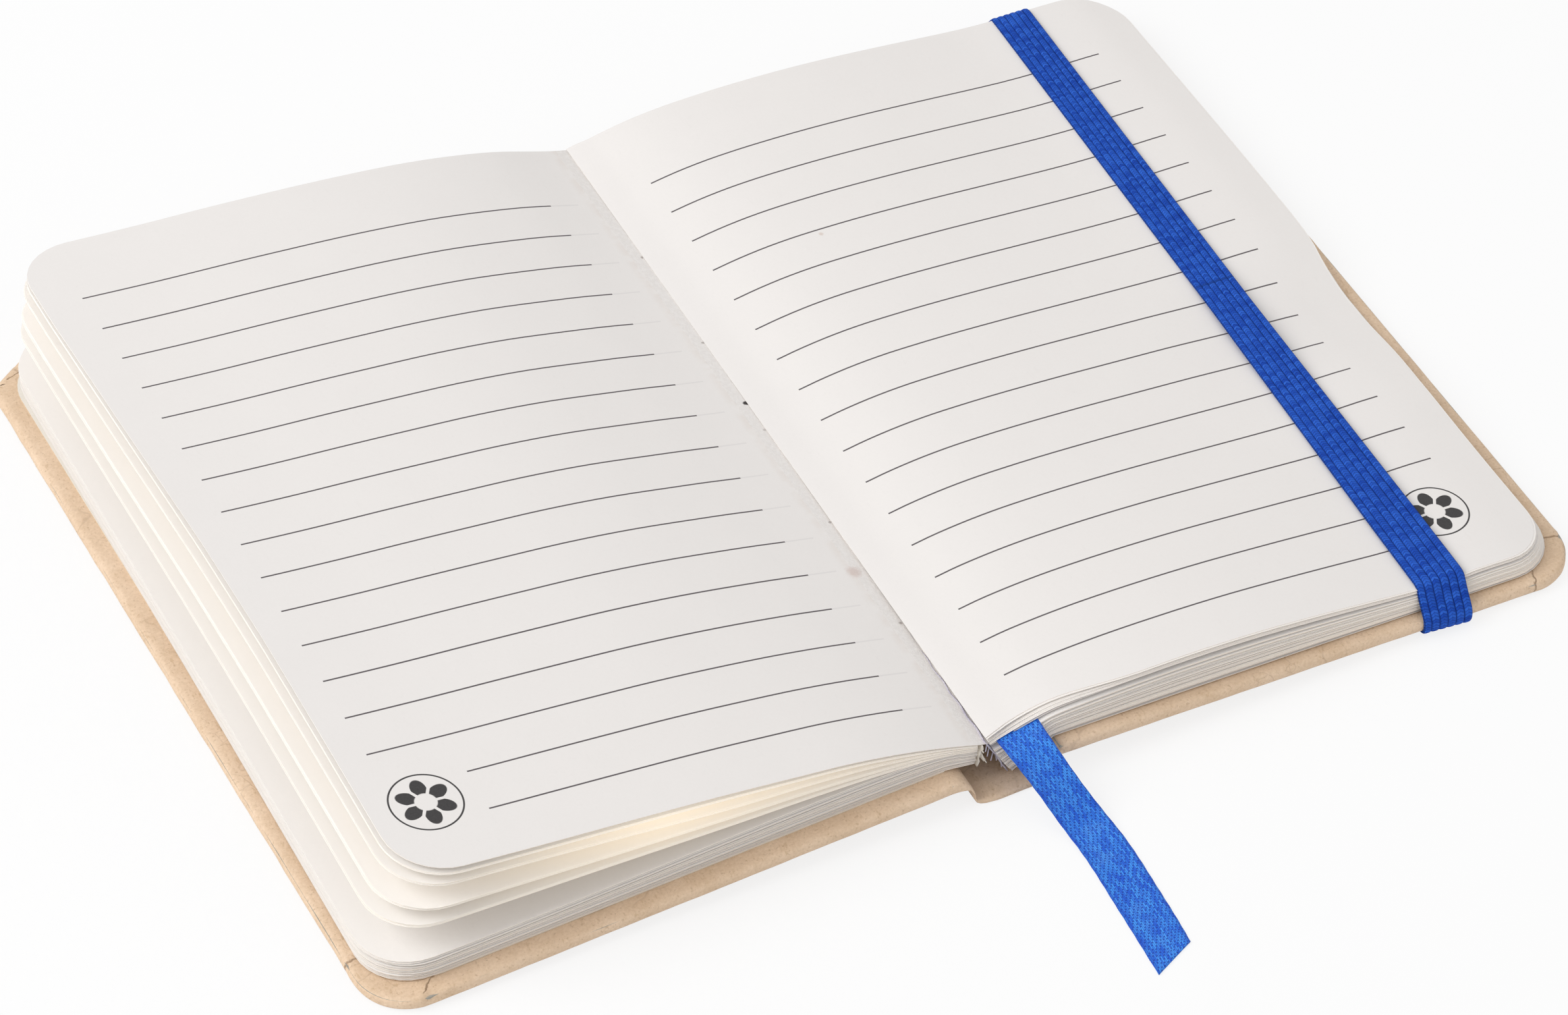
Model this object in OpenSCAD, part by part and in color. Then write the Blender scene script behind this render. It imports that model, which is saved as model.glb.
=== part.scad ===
// A pocket notebook of ruled leaves lying open on a table. It has kraft covers over greyboard,
// a blue elastic band round the back half and a blue ribbon marker. The page block has split
// at the gutter, so each half stands on its own cover. Millimetres.
// The spine runs along Y, the front half is at -X and the back half at +X.

/* [Covers] */
// Height of the covers, along the spine
cover_h = 140; // [120:1:170]
// From the middle of the spread to the outer edge of a cover
cover_reach = 93.5; // [84:0.5:110]
// Radius of the covers' outer corners
cover_corner = 8; // [3:0.5:14]
// Thickness of the greyboard
board_t = 1.5; // [1:0.1:3]
// Thickness of the kraft paper
kraft_t = 0.25; // [0.15:0.05:0.4]
// How far the kraft paper is folded over onto the inside
turn_in = 12; // [8:1:18]
// Thickness of the endpapers
endpaper_t = 0.2; // [0.1:0.05:0.4]
// How high the boards stand off the table beside the spine
spine_lift = 3.4; // [2:0.1:4]
// Where the front board ends, left of the middle
front_board_end = 7.2; // [6.5:0.1:9]
// Where the back board ends, right of the middle
back_board_end = 8.8; // [8.6:0.1:11]
// How much further out the front half's outer edges lie at the head than at the tail
front_slant = 3; // [0:0.2:4]

/* [Spine] */
// Left end of the flat spine strip, from the middle
spine_left = 3.1; // [2:0.1:3.6]
// Right end of the flat spine strip, from the middle
spine_right = 6.4; // [5.5:0.1:6.8]
// Thickness of the card that stiffens the spine
inlay_t = 0.4; // [0.2:0.1:0.8]

/* [Pages] */
// How far the covers stand out past the pages at the head and the tail
overhang = 3; // [1:0.5:6]
// Radius of the leaves' outer corners
page_corner = 8; // [3:0.5:12]
// Thickness of each thin fan of leaves on the left
fan_t = 0.45; // [0.3:0.05:0.8]
// Thickness of the spine lining
lining_t = 0.35; // [0.2:0.05:0.5]

/* [Elastic band] */
// Width of the band
band_w = 7; // [4:0.5:10]
// Thickness of the band
band_t = 0.55; // [0.4:0.05:0.55]
// From the back cover's outer edge to the middle of the band
band_in = 21.1; // [16:0.1:40]
// Angle between the band and the spine
band_skew = 1.6; // [0:0.1:3]

/* [Ribbon marker] */
// Width of the ribbon
ribbon_w = 6.4; // [3:0.1:7]
// Thickness of the ribbon
ribbon_t = 0.3; // [0.2:0.05:0.5]

/* [Hidden] */
$fn = 64;
page_h = cover_h - 2 * overhang;
cover_t = board_t + 2 * kraft_t;
front_len = cover_reach - front_board_end;
back_len = cover_reach - back_board_end;
front_tilt = asin(spine_lift / front_len);
back_tilt = asin(spine_lift / back_len);
slant = front_slant / cover_h;
kraft = [0.88, 0.78, 0.64];
paper = [0.93, 0.92, 0.89];
// The gutter, where the two halves of the block still meet
gutter = [-1.3, 8.5];

// Each flat sheet is drawn from its outer edge towards the spine

// Outline from x = 0 to x = len, with two rounded corners on an edge that slants by k
function slanted(len, h, r, k) = [for (p = concat([[len, -h / 2]],
    [for (a = [0:7.5:90]) [r - r * sin(a), r - r * cos(a) - h / 2]],
    [for (a = [90:-7.5:0]) [r - r * sin(a), h / 2 - r + r * cos(a)]], [[len, h / 2]]))
  [p[0] - k * p[1] * (1 - p[0] / len), p[1]]];

// A sheet with two rounded corners at x = 0 that runs to x = len
module leaf(len, h, r, t, k = 0) {
  linear_extrude(height = t) {
    if (k != 0) polygon(slanted(len, h, r, k));
    else {
      translate([r, -h / 2]) square([len - r, h]);
      translate([0, -h / 2 + r]) square([r + 1, h - 2 * r]);
      for (s = [-1, 1]) translate([r, s * (h / 2 - r)]) circle(r);
    }
  }
}

// Sets what it holds from a cover's outer edge, tilted up towards the spine
module on_front() translate([-cover_reach, 0, 0]) rotate([0, -front_tilt, 0]) children();
module on_back() translate([cover_reach, 0, 0]) rotate([0, back_tilt, 0])
  mirror([1, 0, 0]) children();

// Greyboard of one cover
module board(len, k) {
  translate([kraft_t, 0, kraft_t])
    leaf(len - kraft_t, cover_h - 2 * kraft_t, cover_corner - kraft_t, board_t, k);
}

// Kraft paper round one board, folded over three edges
module wrap(len, k) {
  difference() {
    leaf(len, cover_h, cover_corner, cover_t, k);
    translate([kraft_t, 0, kraft_t])
      leaf(len + 1, cover_h - 2 * kraft_t, cover_corner - kraft_t, board_t, k);
    translate([turn_in, 0, kraft_t])
      leaf(len, cover_h - 2 * turn_in, 2, cover_t, k);
  }
}

// Endpaper pasted over a board and its turned-in edges
module pastedown(len, k) {
  translate([overhang, 0, cover_t])
    leaf(len - overhang, page_h, page_corner, endpaper_t, k);
  translate([turn_in, 0, kraft_t + board_t])
    leaf(len - turn_in, cover_h - 2 * turn_in, 2, kraft_t + 0.05, k);
}

// A sheet that follows [x, z] points along its underside, with a constant thickness
module strip(pts, t, h) {
  rotate([90, 0, 0]) translate([0, 0, -h / 2]) linear_extrude(height = h)
    polygon(concat(pts, [for (i = [len(pts) - 1:-1:0]) pts[i] + [0, t]]));
}

// Covers

module front_board() color([0.6, 0.58, 0.54]) on_front() board(front_len, slant);

module back_board() color([0.6, 0.58, 0.54]) on_back() board(back_len, 0);

module front_cover_paper() color(kraft) {
  on_front() wrap(front_len, slant);
  // Lip past the end of the board, where the spine curls away
  strip([[-front_board_end - 0.2, spine_lift], [-5.8, spine_lift - 0.2],
         [-4.5, spine_lift - 0.45]], kraft_t, cover_h);
}

module back_cover_paper() color(kraft) {
  on_back() wrap(back_len, 0);
  // Spine strip: up to the front cover's lip, flat on the table, up to the back board
  strip([[-4.6, 2.3], [-4.3, 1.5], [-3.8, 0.6], [-spine_left, 0], [spine_right, 0],
         [spine_right + 0.9, 0.6], [back_board_end - 0.9, spine_lift - 0.6],
         [back_board_end + 0.2, spine_lift]], kraft_t, cover_h);
}

module spine_inlay() color([0.72, 0.62, 0.5])
  translate([-spine_left + 0.4, -cover_h / 2 + 1, kraft_t])
    cube([spine_left + spine_right - 0.8, cover_h - 2, inlay_t]);

module front_endpaper() color(paper) on_front() pastedown(front_len, slant);

module back_endpaper() color(paper) on_back() pastedown(back_len, 0);

// Pages

// Height of a board's inside face at x
function front_top(x) = (x + cover_reach) * tan(front_tilt) + (cover_t + endpaper_t) / cos(front_tilt);
function back_top(x) = (cover_reach - x) * tan(back_tilt) + (cover_t + endpaper_t) / cos(back_tilt);

// Distances past 9 mm from the middle grow with the covers
function out(x) = abs(x) <= 9 ? x : sign(x) * (9 + (abs(x) - 9) * (cover_reach - 9) / 84.5);

// Section of leaves, cut to a rounded outline whose outer edge is at x = edge
module leaves(pts, edge, side, k = 0) {
  intersection() {
    rotate([90, 0, 0]) translate([0, 0, -page_h / 2]) linear_extrude(height = page_h)
      polygon([for (p = pts) [out(p[0]), p[1]]]);
    translate([out(edge), 0, -1]) mirror([side > 0 ? 1 : 0, 0, 0])
      leaf(abs(out(edge)) + 10, page_h, page_corner, 40, k);
  }
}

// One thin fan of leaves over given top points, from the spine outwards
module fan(pts, edge) {
  leaves(concat(pts, [for (i = [len(pts) - 1:-1:0]) pts[i] - [0, fan_t]]), edge, -1, slant);
}

// Feet of the spine edges of the two halves of the block
left_foot = [-2.7, 4.6];
right_foot = [2.6, 1.5];

module left_pages() color(paper) {
  // The thick part of the half, which lies on the cover
  leaves([gutter + [-0.5, -0.3], [-5.8, 9.3], [-10, 9.9], [-14, 10], [-25.7, 9.2], [-40.3, 8.2], [-60, 6.6],
          [-73.5, 5.5], [-95, 3.9], [-95, front_top(out(-95))],
          [-front_board_end, front_top(-front_board_end)],
          left_foot], -90.8, -1, slant * 0.4);
  fan([[-2.4, 8.8], [-5.8, 9.9], [-10, 11.1], [-15, 12.5], [-20, 13.9], [-30, 16.3], [-40, 18.2], [-50, 19.6],
       [-60, 20.8], [-70, 22.1], [-80, 23.4], [-92, 24.9]], -86.9);
  fan([[-5, 9.5], [-10, 10.7], [-15, 11.6], [-20, 12.5], [-30, 14], [-40, 15.2], [-50, 16.4], [-62, 17.7],
       [-73.5, 18.8], [-92, 20.4]], -87.9);
  fan([[-5, 9.4], [-10, 10.4], [-16, 10.9], [-25.7, 11.7], [-40, 12.7], [-56, 13.7], [-73.5, 14.5],
       [-92, 15.2]], -89);
  fan([[-6, 9.3], [-12, 10.25], [-25.7, 10.7], [-40, 10.9], [-56, 11.3], [-73.5, 11.8],
       [-92, 12.4]], -89.9);
}

module right_pages() color(paper)
  leaves([gutter + [0.5, -0.3], [0.8, 8.7], [5, 9.5], [10, 10.5], [15, 11], [20, 11.1], [25, 11],
          [30, 10.7], [40, 9.9], [50, 8.9], [60, 7.9], [70, 6.9], [82, 6], [95, 4.7], [95, back_top(out(95))],
          [back_board_end, back_top(back_board_end)], [5.6, 3.4], right_foot], 91, 1);

// A strip glued down a half's spine edge, from the gutter to its foot
module lining(top, foot, side) {
  rotate([90, 0, 0]) translate([0, 0, -page_h / 2]) linear_extrude(height = page_h)
    polygon([top, foot, foot + [side * lining_t, 0], top + [side * lining_t, -0.6]]);
}

module left_spine_lining() color([0.85, 0.8, 0.7]) lining(gutter + [-0.5, -0.3], left_foot, 1);

module right_spine_lining() color([0.78, 0.77, 0.84]) lining(gutter + [0.5, -0.3], right_foot, -1);

// Elastic band and ribbon

// Outline of the band's loop in [y, z] over the sloping back cover, swollen by d
function loop(d) = let (e = cover_h / 2 + 0.3 + d, p = page_h / 2 + 0.2 + d / 2, u = page_up + d) [
  [-e + 0.1, -0.03 - d], [-e, 0.1 - d], [-e, cover_t + 0.4], [-e + 1, u - 1.6], [-p, u - 0.25], [-p + 1, u],
  [p - 1, u], [p, u - 0.25], [e - 1, u - 1.6], [e, cover_t + 0.4], [e, 0.1 - d], [e - 0.1, -0.03 - d]];
// How high the pages stand over the cover's underside at the band
page_up = 6.25;

module elastic_band() color([0.1, 0.27, 0.72])
  translate([cover_reach, 0, 0]) rotate([0, back_tilt, 0]) translate([-band_in, 0, 0])
    rotate([0, 0, -band_skew]) rotate([90, 0, 90]) translate([0, 0, -band_w / 2])
      linear_extrude(height = band_w) difference() {
        polygon(loop(band_t));
        polygon(loop(0));
      }

// Middle line of the ribbon's free length, with y counted from the tail of the pages
ribbon_route = [[3.9, -0.1, 8.2], [4.1, -2.2, 7.9], [4.7, -4.5, 7.1], [5.6, -7, 5.6], [6.5, -9.4, 3.7],
                [7.2, -11.6, 1.9], [7.7, -13.8, 0.75], [7.9, -16.4, 0.3], [7.8, -20, 0.2],
                [7.1, -26.9, 0.2], [6.8, -32.6, 0.2], [6.4, -39.2, 0.2]];
ribbon_path = [for (p = ribbon_route) p - [0, page_h / 2, 0]];

function step_at(i) = let (n = len(ribbon_path) - 1)
  ribbon_path[min(i + 1, n)] - ribbon_path[max(i - 1, 0)];
function up_at(i) = let (d = step_at(i)) [0, -d[2], d[1]] / -norm([0, d[1], d[2]]);
function ring_at(i) = [for (c = [[-1, -1], [1, -1], [1, 1], [-1, 1]])
  ribbon_path[i] + [c[0] * ribbon_w / 2, 0, 0] + up_at(i) * c[1] * ribbon_t / 2];

module ribbon_marker() color([0.15, 0.4, 0.85]) {
  n = len(ribbon_path);
  polyhedron(
    points = [for (i = [0:n - 1]) each ring_at(i)],
    faces = concat([[0, 1, 2, 3]],
      [for (i = [0:n - 2]) for (k = [0:3])
        [4 * i + k, 4 * i + 4 + k, 4 * i + 4 + (k + 1) % 4, 4 * i + (k + 1) % 4]],
      [[4 * n - 1, 4 * n - 2, 4 * n - 3, 4 * n - 4]]));
}

front_board();
back_board();
spine_inlay();
front_cover_paper();
back_cover_paper();
front_endpaper();
back_endpaper();
left_pages();
right_pages();
left_spine_lining();
right_spine_lining();
elastic_band();
ribbon_marker();
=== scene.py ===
import math
import bmesh
import bpy
import numpy as np
from mathutils import Matrix, Vector


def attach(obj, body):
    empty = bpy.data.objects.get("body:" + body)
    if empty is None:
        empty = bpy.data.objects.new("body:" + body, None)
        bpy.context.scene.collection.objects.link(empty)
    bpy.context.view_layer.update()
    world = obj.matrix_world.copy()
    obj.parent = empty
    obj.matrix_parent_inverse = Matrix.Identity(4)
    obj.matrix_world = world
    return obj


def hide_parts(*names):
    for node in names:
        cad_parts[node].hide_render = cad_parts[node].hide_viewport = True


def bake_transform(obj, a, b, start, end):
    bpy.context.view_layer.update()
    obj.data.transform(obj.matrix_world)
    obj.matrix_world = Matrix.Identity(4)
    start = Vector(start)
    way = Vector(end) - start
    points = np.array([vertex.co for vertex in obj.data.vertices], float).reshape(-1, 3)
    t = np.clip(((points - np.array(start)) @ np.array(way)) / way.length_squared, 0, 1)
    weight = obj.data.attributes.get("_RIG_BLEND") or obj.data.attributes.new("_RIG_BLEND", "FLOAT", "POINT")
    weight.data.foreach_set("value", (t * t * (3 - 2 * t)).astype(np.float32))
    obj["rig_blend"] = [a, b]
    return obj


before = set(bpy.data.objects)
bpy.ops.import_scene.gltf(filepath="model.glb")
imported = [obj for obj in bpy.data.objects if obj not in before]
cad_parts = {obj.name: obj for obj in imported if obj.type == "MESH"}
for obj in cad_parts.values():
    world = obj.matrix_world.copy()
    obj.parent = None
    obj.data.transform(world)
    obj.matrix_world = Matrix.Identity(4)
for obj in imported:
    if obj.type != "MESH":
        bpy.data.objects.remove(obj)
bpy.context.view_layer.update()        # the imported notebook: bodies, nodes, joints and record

scene = bpy.context.scene
mm = 0.001


def lin(r, g, b):
    # 0-255 screen colour as the linear colour a socket takes
    return tuple(((c / 255 + 0.055) / 1.055) ** 2.4 if c > 10 else c / 255 / 12.92 for c in (r, g, b)) + (1.0,)


# camera
cameraSet = {
    "place": (-0.25442, -0.50810, 0.56183),
    "right": (0.894603, -0.446843, 0.004165),
    "down": (-0.313667, -0.634561, -0.706361),
    "lens": 127.85,
}
cameraData = bpy.data.cameras.new("photoCamera")
cameraData.lens = cameraSet["lens"]
cameraData.sensor_width = 36
camera = bpy.data.objects.new("photoCamera", cameraData)
scene.collection.objects.link(camera)
right = Vector(cameraSet["right"])
up = -Vector(cameraSet["down"])
back = right.cross(up)
turn = Matrix((right, up, back)).transposed().to_4x4()
camera.matrix_world = Matrix.Translation(cameraSet["place"]) @ turn
scene.camera = camera
print("camera set")


# small helpers for meshes
def addMesh(name, verts, faces, smooth=True, attributes=None):
    mesh = bpy.data.meshes.new(name)
    mesh.from_pydata([tuple(v) for v in verts], [], faces)
    for key, values in (attributes or {}).items():
        layer = mesh.attributes.new(key, "FLOAT", "POINT")
        layer.data.foreach_set("value", np.asarray(values, dtype=np.float32))
    mesh.polygons.foreach_set("use_smooth", [smooth] * len(mesh.polygons))
    mesh.update()
    piece = bpy.data.objects.new(name, mesh)
    scene.collection.objects.link(piece)
    return piece


def smoothThrough(points):
    # a smooth curve through (x, z) points, as a function of x
    xs = np.array([p[0] for p in points], float)
    zs = np.array([p[1] for p in points], float)
    slopes = np.gradient(zs, xs)

    def value(x):
        x = np.clip(x, xs[0], xs[-1])
        i = np.clip(np.searchsorted(xs, x) - 1, 0, len(xs) - 2)
        h = xs[i + 1] - xs[i]
        t = (x - xs[i]) / h
        return ((2 * t**3 - 3 * t**2 + 1) * zs[i] + (t**3 - 2 * t**2 + t) * h * slopes[i]
                + (3 * t**2 - 2 * t**3) * zs[i + 1] + (t**3 - t**2) * h * slopes[i + 1])
    return value


def smoothPath(points, count):
    # evenly spaced points on a smooth line through the given ones
    points = np.array(points, float)
    reach = np.concatenate([[0], np.cumsum(np.linalg.norm(np.diff(points, axis=0), axis=1))])
    curves = [smoothThrough(list(zip(reach, points[:, k]))) for k in range(3)]
    fine = np.linspace(0, reach[-1], 600)
    line = np.stack([c(fine) for c in curves], 1)
    run = np.concatenate([[0], np.cumsum(np.linalg.norm(np.diff(line, axis=0), axis=1))])
    at = np.linspace(0, run[-1], count)
    return np.stack([np.interp(at, run, line[:, k]) for k in range(3)], 1), run[-1]


def wobble(x, y, seed=0.0):
    # soft unevenness between -1 and 1 that repeats nowhere near
    return (np.sin(x * 0.71 + y * 0.43 + seed) + np.sin(x * 0.29 - y * 0.83 + seed * 2.3)
            + np.sin(x * 1.37 + y * 1.11 + seed * 0.7)) / 3


# shader groups
def newGroup(name, inputs, outputs):
    tree = bpy.data.node_groups.new(name, "ShaderNodeTree")
    kinds = {"f": "NodeSocketFloat", "v": "NodeSocketVector", "c": "NodeSocketColor"}
    for label, kind, default in inputs:
        socket = tree.interface.new_socket(label, in_out="INPUT", socket_type=kinds[kind])
        if default is not None:
            socket.default_value = default
    for label, kind in outputs:
        tree.interface.new_socket(label, in_out="OUTPUT", socket_type=kinds[kind])
    return tree, tree.nodes.new("NodeGroupInput"), tree.nodes.new("NodeGroupOutput")


def calc(tree, operation, a, b=None, c=None):
    # a Math node; a, b and c are numbers or sockets
    node = tree.nodes.new("ShaderNodeMath")
    node.operation = operation
    for i, value in enumerate((a, b, c)):
        if value is None:
            continue
        if isinstance(value, (int, float)):
            node.inputs[i].default_value = value
        else:
            tree.links.new(value, node.inputs[i])
    return node.outputs[0]


def times(tree, a, b):
    return calc(tree, "MULTIPLY", a, b)


def plus(tree, a, b):
    return calc(tree, "ADD", a, b)


def minus(tree, a, b):
    return calc(tree, "SUBTRACT", a, b)


def softStep(tree, value, low, high):
    node = tree.nodes.new("ShaderNodeMapRange")
    node.interpolation_type = "SMOOTHSTEP"
    node.clamp = True
    tree.links.new(value, node.inputs["Value"])
    for label, edge in (("From Min", low), ("From Max", high)):
        if isinstance(edge, (int, float)):
            node.inputs[label].default_value = edge
        else:
            tree.links.new(edge, node.inputs[label])
    return node.outputs["Result"]


def fadeOut(tree, value, low, high):
    # 1 below low, 0 above high
    return minus(tree, 1.0, softStep(tree, value, low, high))


def fromPoint(tree, start):
    # how far the given vector lies from the group's X and Y
    split = tree.nodes.new("ShaderNodeSeparateXYZ")
    tree.links.new(start.outputs["Vector"], split.inputs[0])
    return [minus(tree, split.outputs[axis], start.outputs[axis]) for axis in "XY"]


def mixColour(tree, factor, a, b, blend="MIX"):
    node = tree.nodes.new("ShaderNodeMix")
    node.data_type = "RGBA"
    node.blend_type = blend
    for label, value in (("Factor", factor), ("A", a), ("B", b)):
        socket = [s for s in node.inputs if s.name == label and s.enabled][0]
        if isinstance(value, (int, float, tuple)):
            socket.default_value = value
        else:
            tree.links.new(value, socket)
    return [s for s in node.outputs if s.enabled][0]


def noise(tree, vector, scale, detail=3.0, rough=0.5):
    node = tree.nodes.new("ShaderNodeTexNoise")
    node.inputs["Scale"].default_value = scale
    node.inputs["Detail"].default_value = detail
    node.inputs["Roughness"].default_value = rough
    tree.links.new(vector, node.inputs["Vector"])
    return node.outputs["Fac"]


def fibreGroup():
    # mottled tone and small fibres of uncoated paper
    tree, start, end = newGroup("paperFibre", [
        ("Vector", "v", None), ("Mottle", "f", 0.5), ("Fibre", "f", 0.5)], [("Tone", "f"), ("Height", "f")])
    cloud = noise(tree, start.outputs["Vector"], 140, 4, 0.6)
    fine = noise(tree, start.outputs["Vector"], 2600, 3, 0.6)
    stretched = tree.nodes.new("ShaderNodeMapping")
    stretched.inputs["Scale"].default_value = (1.0, 0.35, 1.0)
    stretched.inputs["Rotation"].default_value = (0, 0, 0.5)
    tree.links.new(start.outputs["Vector"], stretched.inputs["Vector"])
    threads = noise(tree, stretched.outputs["Vector"], 1500, 2, 0.7)
    thread = softStep(tree, threads, 0.6, 0.72)
    a = times(tree, minus(tree, cloud, 0.5), start.outputs["Mottle"])
    b = times(tree, minus(tree, fine, 0.5), start.outputs["Fibre"])
    c = times(tree, thread, start.outputs["Fibre"])
    tone = minus(tree, plus(tree, plus(tree, a, b), 0.5), times(tree, c, 0.35))
    tree.links.new(tone, end.inputs["Tone"])
    tree.links.new(plus(tree, fine, times(tree, threads, 0.5)), end.inputs["Height"])
    return tree


def rulingGroup():
    # ruled lines across a page, with their show-through past the inner ends
    tree, start, end = newGroup("ruling", [
        ("Vector", "v", None), ("First Line", "f", 0.0532), ("Pitch", "f", 0.007), ("Width", "f", 0.00024),
        ("Low End", "f", -0.0816), ("High End", "f", -0.0096), ("Short From", "f", 14.5),
        ("Short Low", "f", -0.0704), ("Short High", "f", -0.0096), ("Through", "f", -0.0052)],
        [("Line", "f"), ("Show Through", "f")])
    split = tree.nodes.new("ShaderNodeSeparateXYZ")
    tree.links.new(start.outputs["Vector"], split.inputs[0])
    x, y = split.outputs["X"], split.outputs["Y"]
    step = calc(tree, "DIVIDE", minus(tree, start.outputs["First Line"], y), start.outputs["Pitch"])
    number = calc(tree, "ROUND", step)
    away = times(tree, calc(tree, "ABSOLUTE", minus(tree, step, number)), start.outputs["Pitch"])
    half = times(tree, start.outputs["Width"], 0.5)
    line = fadeOut(tree, away, times(tree, half, 0.6), times(tree, half, 1.5))
    rows = times(tree, calc(tree, "GREATER_THAN", number, -0.5), calc(tree, "LESS_THAN", number, 16.5))
    line = times(tree, line, rows)
    short = calc(tree, "GREATER_THAN", number, start.outputs["Short From"])

    def pick(plain, cut):
        gap = minus(tree, start.outputs[cut], start.outputs[plain])
        return plus(tree, start.outputs[plain], times(tree, gap, short))
    low, high = pick("Low End", "Short Low"), pick("High End", "Short High")
    inside = times(tree, calc(tree, "GREATER_THAN", x, low), calc(tree, "LESS_THAN", x, high))
    tree.links.new(times(tree, line, inside), end.inputs["Line"])
    beyond = times(tree, calc(tree, "GREATER_THAN", x, high), calc(tree, "LESS_THAN", x, start.outputs["Through"]))
    tree.links.new(times(tree, line, beyond), end.inputs["Show Through"])
    return tree


def rosetteGroup():
    # a thin printed ring with six dark petals in it
    tree, start, end = newGroup("rosette", [
        ("Vector", "v", None), ("X", "f", 0.0), ("Y", "f", 0.0), ("Radius", "f", 0.005)], [("Print", "f")])
    dx, dy = fromPoint(tree, start)
    away = calc(tree, "SQRT", plus(tree, times(tree, dx, dx), times(tree, dy, dy)))
    radius = calc(tree, "DIVIDE", away, start.outputs["Radius"])
    ring = fadeOut(tree, calc(tree, "ABSOLUTE", minus(tree, radius, 0.97)), 0.015, 0.035)
    angle = calc(tree, "ARCTAN2", dy, dx)
    lobe = calc(tree, "ABSOLUTE", calc(tree, "SINE", times(tree, angle, 3.0)))
    reach = plus(tree, 0.40, times(tree, lobe, 0.40))
    petal = fadeOut(tree, minus(tree, radius, reach), -0.02, 0.02)
    gap = softStep(tree, times(tree, lobe, radius), 0.10, 0.15)
    core = softStep(tree, radius, 0.28, 0.32)
    petal = times(tree, times(tree, petal, gap), core)
    tree.links.new(calc(tree, "MAXIMUM", ring, petal), end.inputs["Print"])
    return tree


def gluedStripGroup():
    # a rough strip along the gutter whose outer edge wanders, with small notches in it
    tree, start, end = newGroup("gluedStrip", [
        ("Vector", "v", None), ("Outer", "f", -0.004), ("Wander", "f", 0.0006), ("Side", "f", -1.0)],
        [("Strip", "f"), ("Tear", "f"), ("Rough", "f"), ("Shade", "f")])
    split = tree.nodes.new("ShaderNodeSeparateXYZ")
    tree.links.new(start.outputs["Vector"], split.inputs[0])
    x = times(tree, split.outputs["X"], start.outputs["Side"])
    slow = noise(tree, start.outputs["Vector"], 320, 3, 0.6)
    fine = noise(tree, start.outputs["Vector"], 1500, 3, 0.7)
    drift = times(tree, minus(tree, slow, 0.5), start.outputs["Wander"])
    outer = plus(tree, times(tree, start.outputs["Outer"], start.outputs["Side"]), drift)
    gap = minus(tree, outer, x)                        # how far inside the strip
    strip = softStep(tree, gap, -0.0001, 0.0001)
    strip = times(tree, strip, softStep(tree, fine, 0.30, 0.62))
    tear = fadeOut(tree, calc(tree, "ABSOLUTE", gap), 0.00002, 0.00011)
    tear = times(tree, tear, times(tree, softStep(tree, fine, 0.46, 0.62), 0.55))
    tree.links.new(strip, end.inputs["Strip"])
    tree.links.new(tear, end.inputs["Tear"])
    tree.links.new(times(tree, strip, fine), end.inputs["Rough"])
    outside = times(tree, softStep(tree, gap, -0.0016, -0.0001), fadeOut(tree, gap, -0.0001, 0.0001))
    tree.links.new(times(tree, outside, softStep(tree, slow, 0.35, 0.6)), end.inputs["Shade"])
    return tree


def foldGroup():
    # one pressed fold in the paper: a dark line of painted shade in the crease, with a raised side, fading at both
    # ends
    tree, start, end = newGroup("foldLine", [
        ("Vector", "v", None), ("X", "f", 0.0), ("Y", "f", 0.0), ("Turn", "f", 0.0), ("Length", "f", 0.004),
        ("Width", "f", 0.0003)], [("CreaseShade", "f"), ("Step", "f")])
    dx, dy = fromPoint(tree, start)
    cosine = calc(tree, "COSINE", start.outputs["Turn"])
    sine = calc(tree, "SINE", start.outputs["Turn"])
    along = plus(tree, times(tree, dx, cosine), times(tree, dy, sine))
    off = minus(tree, times(tree, dy, cosine), times(tree, dx, sine))
    shake = times(tree, minus(tree, noise(tree, start.outputs["Vector"], 700, 3), 0.5), 0.0012)
    off = plus(tree, off, shake)
    near = fadeOut(tree, calc(tree, "ABSOLUTE", along), times(tree, start.outputs["Length"], 0.35),
                   times(tree, start.outputs["Length"], 0.5))
    dark = fadeOut(tree, calc(tree, "ABSOLUTE", off), 0.0, start.outputs["Width"])
    tree.links.new(times(tree, dark, near), end.inputs["CreaseShade"])
    side = softStep(tree, off, times(tree, start.outputs["Width"], -0.5),
                    times(tree, start.outputs["Width"], 0.5))
    fade = fadeOut(tree, off, 0.0004, 0.0018)
    tree.links.new(times(tree, times(tree, side, fade), near), end.inputs["Step"])
    return tree


def spotGroup():
    # one small dark mark, ragged at its rim
    tree, start, end = newGroup("spot", [
        ("Vector", "v", None), ("X", "f", 0.0), ("Y", "f", 0.0), ("Radius", "f", 0.0003), ("Soft", "f", 0.4)],
        [("Mark", "f")])
    dx, dy = fromPoint(tree, start)
    away = calc(tree, "SQRT", plus(tree, times(tree, dx, dx), times(tree, dy, dy)))
    away = calc(tree, "DIVIDE", away, start.outputs["Radius"])
    away = plus(tree, away, minus(tree, noise(tree, start.outputs["Vector"], 2600, 2), 0.5))
    inner = minus(tree, 1.0, start.outputs["Soft"])
    tree.links.new(fadeOut(tree, away, inner, plus(tree, 1.0, start.outputs["Soft"])), end.inputs["Mark"])
    return tree


groups = {"fibre": fibreGroup(), "ruling": rulingGroup(), "rosette": rosetteGroup(),
          "gluedStrip": gluedStripGroup(), "fold": foldGroup(), "spot": spotGroup()}


def placeGroup(material, key, vector, **values):
    node = material.node_tree.nodes.new("ShaderNodeGroup")
    node.node_tree = groups[key]
    material.node_tree.links.new(vector, node.inputs["Vector"])
    for label, value in values.items():
        node.inputs[label.replace("_", " ")].default_value = value
    return node


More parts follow.
